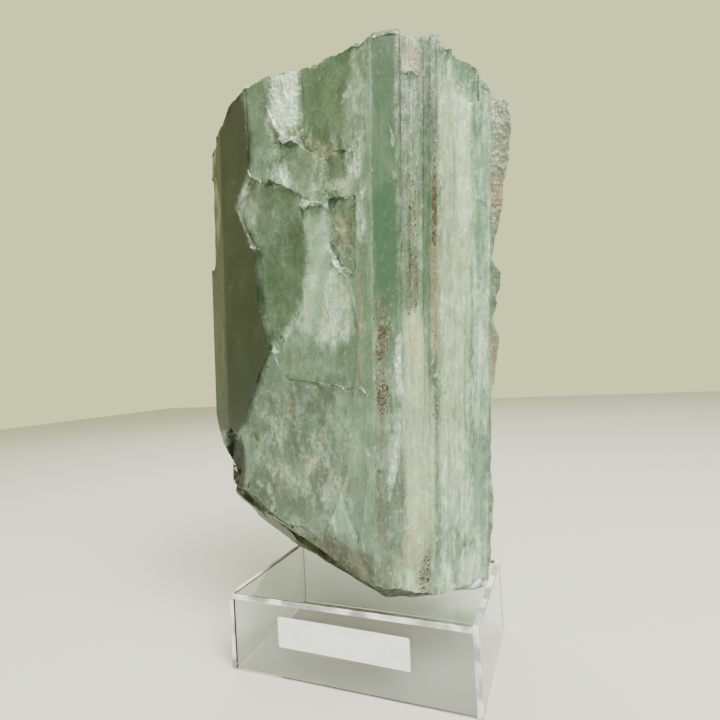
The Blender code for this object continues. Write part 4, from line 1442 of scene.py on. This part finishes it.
@dataclass
class IronGrains:
    """Limonite grains lodged in pits of the crystal, scattered by Geometry Nodes."""

    grain: float = 0.28             # mean radius, mm
    crowding: float = 0.95          # grains per square millimetre where iron is thickest
    least_iron: float = 0.3         # no grains where the stain is weaker than this
    sizes: tuple[float, float] = (0.45, 1.5)    # smallest and largest, times the mean
    flatness: float = 0.35          # how thick a grain is, as a share of the mean
    seed: int = 11

    def tree(self, finish: bpy.types.Material) -> bpy.types.NodeTree:
        """Build the scattering tree.

        Args:
            finish: the grains' material.

        Returns:
            The node group.
        """
        group = bpy.data.node_groups.new("iron_grains", "GeometryNodeTree")
        for name, side, kind in (("Geometry", "INPUT", "Geometry"),
                                 ("Grain radius", "INPUT", "Float"),
                                 ("Crowding", "INPUT", "Float"), ("Seed", "INPUT", "Int"),
                                 ("Geometry", "OUTPUT", "Geometry")):
            group.interface.new_socket(name, in_out=side, socket_type=f"NodeSocket{kind}")
        source = add(group, "NodeGroupInput")
        iron = add(group, "GeometryNodeInputNamedAttribute", {"Name": P.RUST.value},
                   data_type="FLOAT")
        thick = add(group, "ShaderNodeMapRange",
                    {"Value": iron.outputs["Attribute"], "From Min": self.least_iron,
                     "From Max": 1.0})
        density = add(group, "ShaderNodeMath",
                      {0: thick.outputs[0], 1: source.outputs["Crowding"]}, operation="MULTIPLY")
        spread = add(group, "GeometryNodeDistributePointsOnFaces",
                     {"Mesh": source.outputs["Geometry"], "Density": density.outputs[0],
                      "Seed": source.outputs["Seed"]})
        ball = add(group, "GeometryNodeMeshIcoSphere",
                   {"Radius": source.outputs["Grain radius"], "Subdivisions": 1})
        size = add(group, "FunctionNodeRandomValue",
                   {2: self.sizes[0], 3: self.sizes[1], "Seed": source.outputs["Seed"]},
                   data_type="FLOAT")
        flat = add(group, "ShaderNodeCombineXYZ",
                   {"X": size.outputs[1], "Y": size.outputs[1],
                    "Z": self.flatness})
        placed = add(group, "GeometryNodeInstanceOnPoints",
                     {"Points": spread.outputs["Points"], "Instance": ball.outputs["Mesh"],
                      "Rotation": spread.outputs["Rotation"], "Scale": flat.outputs[0]})
        real = add(group, "GeometryNodeRealizeInstances", {"Geometry": placed.outputs[0]})
        dressed = add(group, "GeometryNodeSetMaterial",
                      {"Geometry": real.outputs[0], "Material": finish})
        result = add(group, "NodeGroupOutput")
        group.links.new(dressed.outputs[0], result.inputs["Geometry"])
        return group

    def build(self, crystal: bpy.types.Object) -> bpy.types.Object:
        """Scatter the grains over the crystal's iron stains.

        Args:
            crystal: the finished crystal.

        Returns:
            The grains as one plain mesh.
        """
        group = self.tree(Limonite().material())
        carrier = shown("grain_carrier", crystal.data)
        modifier = carrier.modifiers.new("iron_grains", "NODES")
        modifier.node_group = group
        wanted = {"Grain radius": self.grain * MM, "Crowding": self.crowding / MM ** 2,
                  "Seed": self.seed}
        for item in group.interface.items_tree:
            if item.item_type == "SOCKET" and item.in_out == "INPUT" and item.name in wanted:
                modifier[item.identifier] = wanted[item.name]
        bpy.context.view_layer.update()
        evaluated = carrier.evaluated_get(bpy.context.evaluated_depsgraph_get())
        mesh = bpy.data.meshes.new_from_object(evaluated)
        mesh.name = "iron_grains"
        bpy.data.objects.remove(carrier)
        piece = shown("iron_grains", mesh)
        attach(piece, BODY)
        return piece


# ---------------------------------------------------------------- the riser, label and putty

@dataclass
class Riser:
    """The clear five-sided box, glued from flat plates into one piece."""

    width: float = 100.0
    depth: float = 60.0
    height: float = 30.0
    wall: float = 2.0
    edge: float = 0.22              # rounding of the edges, mm
    near: float = 0.01              # closer to the outside than this counts as on it, mm

    def build(self, stand: np.ndarray) -> bpy.types.Object:
        """Make the riser as one closed shell, open below, with satin sawn edges.

        Args:
            stand: the middle of its base, in world millimetres.

        Returns:
            The piece, standing for the five plates.
        """
        bm = bmesh.new()
        rings = []
        for inset, top in ((0.0, self.height), (self.wall, self.height - self.wall)):
            half = (self.width / 2 - inset, self.depth / 2 - inset)
            corners = [(-half[0], -half[1]), (half[0], -half[1]), (half[0], half[1]),
                       (-half[0], half[1])]
            low = [bm.verts.new((x, y, 0.0)) for x, y in corners]
            high = [bm.verts.new((x, y, top)) for x, y in corners]
            rings.append((low, high))
        (outer_low, outer_high), (inner_low, inner_high) = rings
        bm.faces.new(outer_high)
        bm.faces.new(inner_high[::-1])
        for here, there in ((0, 1), (1, 2), (2, 3), (3, 0)):
            bm.faces.new((outer_low[here], outer_low[there], outer_high[there],
                          outer_high[here]))
            bm.faces.new((inner_low[there], inner_low[here], inner_high[here],
                          inner_high[there]))
            bm.faces.new((outer_low[there], outer_low[here], inner_low[here],
                          inner_low[there]))
        bmesh.ops.recalc_face_normals(bm, faces=bm.faces[:])
        outer = [edge for edge in bm.edges
                 if all(vertex in outer_low + outer_high for vertex in edge.verts)]
        bmesh.ops.bevel(bm, geom=outer, offset=self.edge, segments=2, profile=0.5,
                        affect="EDGES")
        side = self.width / 2 - self.wall
        seams = (((side, 0, 0), (1, 0, 0)), ((-side, 0, 0), (1, 0, 0)),
                 ((0, 0, self.height - self.wall), (0, 0, 1)))
        for place, normal in seams:
            bmesh.ops.bisect_plane(bm, geom=bm.verts[:] + bm.edges[:] + bm.faces[:],
                                   plane_co=place, plane_no=normal, dist=0.001)
        for face in bm.faces:
            face.material_index = int(self.sawn(face.calc_center_median(), face.normal))
        bmesh.ops.translate(bm, vec=stand, verts=bm.verts)
        piece = shaped("riser_shell", bm, Acrylic().material(), SawnAcrylic().material())
        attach(piece, BODY)
        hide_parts("stand_top_plate", "stand_front_plate", "stand_back_plate",
                    "stand_left_plate", "stand_right_plate")
        return piece

    def sawn(self, middle: Vector, normal: Vector) -> bool:
        """Tell whether a face is the sawn edge of a sheet.

        Args:
            middle: the face's middle, from the middle of the riser's base.
            normal: which way it faces.

        Returns:
            True on the side plates' edges, and on the top plate's edges in front and behind.
        """
        beside = abs(middle.x) > self.width / 2 - self.wall
        above = middle.z > self.height - self.wall
        facing_front = abs(normal.y) > 0.5 and abs(middle.y) > self.depth / 2 - self.near
        facing_up = normal.z > 0.5 and middle.z > self.height - self.near
        rounded = max(abs(normal.x), abs(normal.y), abs(normal.z)) < 0.99
        return (facing_front and (beside or above)) or (facing_up and beside) or rounded


@dataclass
class Label:
    """A bare strip of paper on the front wall, its ends lifting a little."""

    width: float = 53.0
    height: float = 11.6
    columns: int = 54
    rows: int = 12
    fullness: float = 0.8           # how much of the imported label's thickness the paper fills
    lift: float = 0.18              # how far the ends curl off the wall, mm
    curl: int = 6                   # how sharply they do
    crease: float = 40.0            # edges sharper than this stay crisp, degrees
    corner: float = 0.5             # rounding of its corners, mm
    turn: float = 0.6               # out of level, degrees

    def build(self) -> bpy.types.Object:
        """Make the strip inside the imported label's place.

        Returns:
            The piece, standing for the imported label.
        """
        low, high = (np.array(corner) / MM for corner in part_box("paper_label"))
        middle = (low + high) / 2
        thickness = self.fullness * (high[1] - low[1])
        bm = bmesh.new()
        bmesh.ops.create_grid(bm, x_segments=self.columns, y_segments=self.rows, size=0.5)
        for vertex in bm.verts:
            x, y = vertex.co.x * self.width, vertex.co.y * self.height
            over_x = max(0.0, abs(x) - (self.width / 2 - self.corner))
            over_y = max(0.0, abs(y) - (self.height / 2 - self.corner))
            reach = (over_x ** 2 + over_y ** 2) ** 0.5
            if over_x > 0 and over_y > 0 and reach > self.corner:
                x -= np.sign(x) * over_x * (1 - self.corner / reach)
                y -= np.sign(y) * over_y * (1 - self.corner / reach)
            vertex.co = Vector((x, -self.lift * (abs(x) / (self.width / 2)) ** self.curl, y))
        bmesh.ops.recalc_face_normals(bm, faces=bm.faces[:])
        bm.normal_update()
        if bm.faces[0].normal.y >= 0:
            bmesh.ops.reverse_faces(bm, faces=bm.faces[:])
        bmesh.ops.solidify(bm, geom=bm.faces[:], thickness=thickness)
        turn = Matrix.Rotation(radians(self.turn), 4, "Y")
        bmesh.ops.transform(bm, matrix=Matrix.Translation(middle) @ turn, verts=bm.verts)
        bmesh.ops.recalc_face_normals(bm, faces=bm.faces[:])
        piece = shaped("label_strip", bm, Paper().material())
        piece.data.shade_smooth()
        piece.data.set_sharp_from_angle(angle=radians(self.crease))
        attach(piece, BODY)
        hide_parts("paper_label")
        return piece


@dataclass
class PuttyPad:
    """The pressed pad of putty, with a wedge squeezed up at the crystal's right corner."""

    outline: tuple[tuple[float, float], ...] = (
        (13, -11), (22, -15), (31, -9), (38, -4), (44.5, -1.4), (47.0, 1.6), (44, 4), (41, 13),
        (33, 24), (15, 25), (-8, 25), (-26, 22), (-27, 14), (-9, 1))
    span: tuple[tuple[float, float], ...] = ((-30.0, 47.0), (-18.0, 27.0))
    bottom: float = 30.05           # just above the riser's top, mm
    thickness: float = 1.5
    spacing: float = 1.0            # between the mesh's rows, mm
    sliver: float = 0.05            # corners closer than this to a row aren't cut off, mm
    wedge: tuple[float, float] = (46.2, 0.4)
    wedge_reach: float = 4.2
    wedge_height: float = 2.2
    wedge_curve: float = 1.2
    middle: tuple[float, float] = (8.0, 6.0)    # what its edge bulges away from
    bulge: float = 0.5              # how far the pressed edge wanders in and out, mm
    bulge_size: float = 3.0
    rounding: tuple[float, float] = (0.35, 0.25)    # of the top edge, inwards and down, mm

    def build(self, stand: np.ndarray) -> bpy.types.Object:
        """Make the pad.

        Args:
            stand: the middle of the riser's base, in world millimetres.

        Returns:
            The piece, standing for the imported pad.
        """
        bm = bmesh.new()
        face = bm.faces.new([bm.verts.new((x, y, 0.0)) for x, y in self.outline])
        if face.normal.z < 0:
            face.normal_flip()
        for axis, (low, high) in enumerate(self.span):
            place = low + self.spacing
            while place < high:
                spot, normal = Vector(), Vector()
                spot[axis], normal[axis] = place, 1.0
                bmesh.ops.bisect_plane(bm, geom=bm.verts[:] + bm.edges[:] + bm.faces[:],
                                       plane_co=spot, plane_no=normal, dist=self.sliver)
                place += self.spacing
        lid = bmesh.ops.extrude_face_region(bm, geom=bm.faces[:], use_keep_orig=True)["geom"]
        top = {part for part in lid if isinstance(part, bmesh.types.BMVert)}
        bmesh.ops.recalc_face_normals(bm, faces=bm.faces[:])
        rim = {vertex for vertex in bm.verts
               if any(abs(face.normal.z) < 0.5 for face in vertex.link_faces)}
        for vertex in bm.verts:
            x, y = vertex.co.x, vertex.co.y
            away = ((x - self.wedge[0]) ** 2 + (y - self.wedge[1]) ** 2) ** 0.5
            near = max(0.0, 1.0 - away / self.wedge_reach)
            rise_here = self.thickness + self.wedge_height * near ** self.wedge_curve
            vertex.co.z = self.bottom + (rise_here if vertex in top else 0.0)
            if vertex in rim:
                spot = Vector((x / self.bulge_size, y / self.bulge_size, 5.0))
                outward = Vector((x - self.middle[0], y - self.middle[1], 0.0)).normalized()
                vertex.co += outward * noise.noise(spot) * self.bulge
                if vertex in top:
                    vertex.co -= outward * self.rounding[0]
                    vertex.co.z -= self.rounding[1]
        bmesh.ops.triangulate(bm, faces=bm.faces[:])
        bmesh.ops.recalc_face_normals(bm, faces=bm.faces[:])
        bmesh.ops.translate(bm, vec=stand, verts=bm.verts)
        piece = shaped("putty_pad", bm, Putty().material())
        piece.data.shade_smooth()
        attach(piece, BODY)
        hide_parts("mounting_putty")
        return piece


# ---------------------------------------------------------------- the studio

@dataclass
class SoftBox:
    """A rectangular lamp aimed at the crystal's middle."""

    name: str
    heading: float                  # where it stands, degrees
    rise: float                     # how high it stands, degrees
    distance: float                 # metres
    size: float                     # metres
    power: float                    # watts
    colour: str = "FFFFFF"

    def build(self, target: Vector) -> bpy.types.Object:
        """Make the lamp.

        Args:
            target: the place it is aimed at.

        Returns:
            The lamp.
        """
        data = bpy.data.lights.new(self.name, "AREA")
        data.shape = "SQUARE"
        data.size = self.size
        data.energy = self.power
        data.color = linear(self.colour)[:3]
        lamp = bpy.data.objects.new(self.name, data)
        level = Vector(heading(self.heading)) * cos(radians(self.rise))
        direction = level + Vector((0.0, 0.0, sin(radians(self.rise))))
        lamp.location = target + direction * self.distance
        lamp.rotation_euler = (-direction).to_track_quat("-Z", "Y").to_euler()
        bpy.context.scene.collection.objects.link(lamp)
        return lamp


@dataclass
class Studio:
    """Floor, surroundings, lamps and camera."""

    floor_size: float = 3.0
    surround: str = "F1F4B2"
    surround_strength: float = 1.18
    lamps: tuple[SoftBox, ...] = (
        SoftBox("key", -42.0, 50.0, 1.1, 0.65, 50.0, "FFFAEE"),
        SoftBox("fill", 262.0, 25.0, 1.2, 0.9, 0.6, "F4F8FF"),
        SoftBox("back", 130.0, 50.0, 1.0, 0.6, 8.0, "FFFFFF"),
    )
    target: tuple[float, float, float] = (0.0, 0.0, 0.12)   # what the lamps aim at, metres
    floor_drop: float = 0.0002      # how far the floor lies under the riser, metres
    yaw: float = 0.387075           # the camera's turn to the left, radians
    pitch: float = -0.020322        # ... downwards
    roll: float = -0.057034
    lens: float = 24.95
    sensor: float = 36.0

    def build(self, stand: np.ndarray) -> None:
        """Set the scene up around the part.

        Args:
            stand: the middle of the riser's base, in world millimetres.
        """
        self.build_floor()
        self.build_world()
        for lamp in self.lamps:
            lamp.build(Vector(self.target))
        self.build_camera(stand)

    def build_floor(self) -> bpy.types.Object:
        """Lay the floor just under the riser.

        Returns:
            The floor.
        """
        half = self.floor_size / 2
        mesh = bpy.data.meshes.new("floor")
        corners = [(x * half, y * half, 0.0) for x, y in ((-1, -1), (1, -1), (1, 1), (-1, 1))]
        mesh.from_pydata(corners, [], [(0, 1, 2, 3)])
        floor = shown("floor", mesh, StudioFloor().material())
        floor.location.z = -self.floor_drop
        return floor

    def build_world(self) -> None:
        """Light the surroundings evenly."""
        world = bpy.data.worlds.new("studio")
        bpy.context.scene.world = world
        world.use_nodes = True
        world.node_tree.nodes.clear()
        shade = add(world.node_tree, "ShaderNodeBackground",
                    {"Color": linear(self.surround), "Strength": self.surround_strength})
        add(world.node_tree, "ShaderNodeOutputWorld", {"Surface": shade.outputs[0]})

    def build_camera(self, stand: np.ndarray) -> bpy.types.Object:
        """Stand the camera at its eye point, level with the crystal's middle.

        Args:
            stand: the middle of the riser's base, in world millimetres.

        Returns:
            The camera.
        """
        along = Vector((cos(self.yaw), sin(self.yaw), 0.0))
        ahead = Vector((-sin(self.yaw), cos(self.yaw), 0.0))
        level = Vector((0.0, 0.0, 1.0))
        forward = ahead * cos(self.pitch) - level * sin(self.pitch)
        upward = ahead * sin(self.pitch) + level * cos(self.pitch)
        right = along * cos(self.roll) + upward * sin(self.roll)
        top = -along * sin(self.roll) + upward * cos(self.roll)
        data = bpy.data.cameras.new("camera")
        data.sensor_width = self.sensor
        data.lens = self.lens
        data.clip_start = 0.01
        camera = bpy.data.objects.new("camera", data)
        turn = Matrix((right, top, -forward)).transposed()
        place = (Vector(EYE) + Vector(stand)) * MM
        camera.matrix_world = Matrix.Translation(place) @ turn.to_4x4()
        bpy.context.scene.collection.objects.link(camera)
        bpy.context.scene.camera = camera
        return camera


def main() -> None:
    """Build every piece in order and report it."""
    logging.basicConfig(level=logging.INFO, format="%(name)s: %(message)s")
    crystal = Crystal()
    body = crystal.build()
    pieces = [body, IronGrains().build(body), Riser().build(crystal.frame.stand),
              Label().build(), PuttyPad().build(crystal.frame.stand)]
    Studio().build(crystal.frame.stand)
    for piece in pieces:
        piece.data.calc_loop_triangles()
        log.info("%s: %d triangles", piece.name, len(piece.data.loop_triangles))


if __name__ == "__main__":
    main()
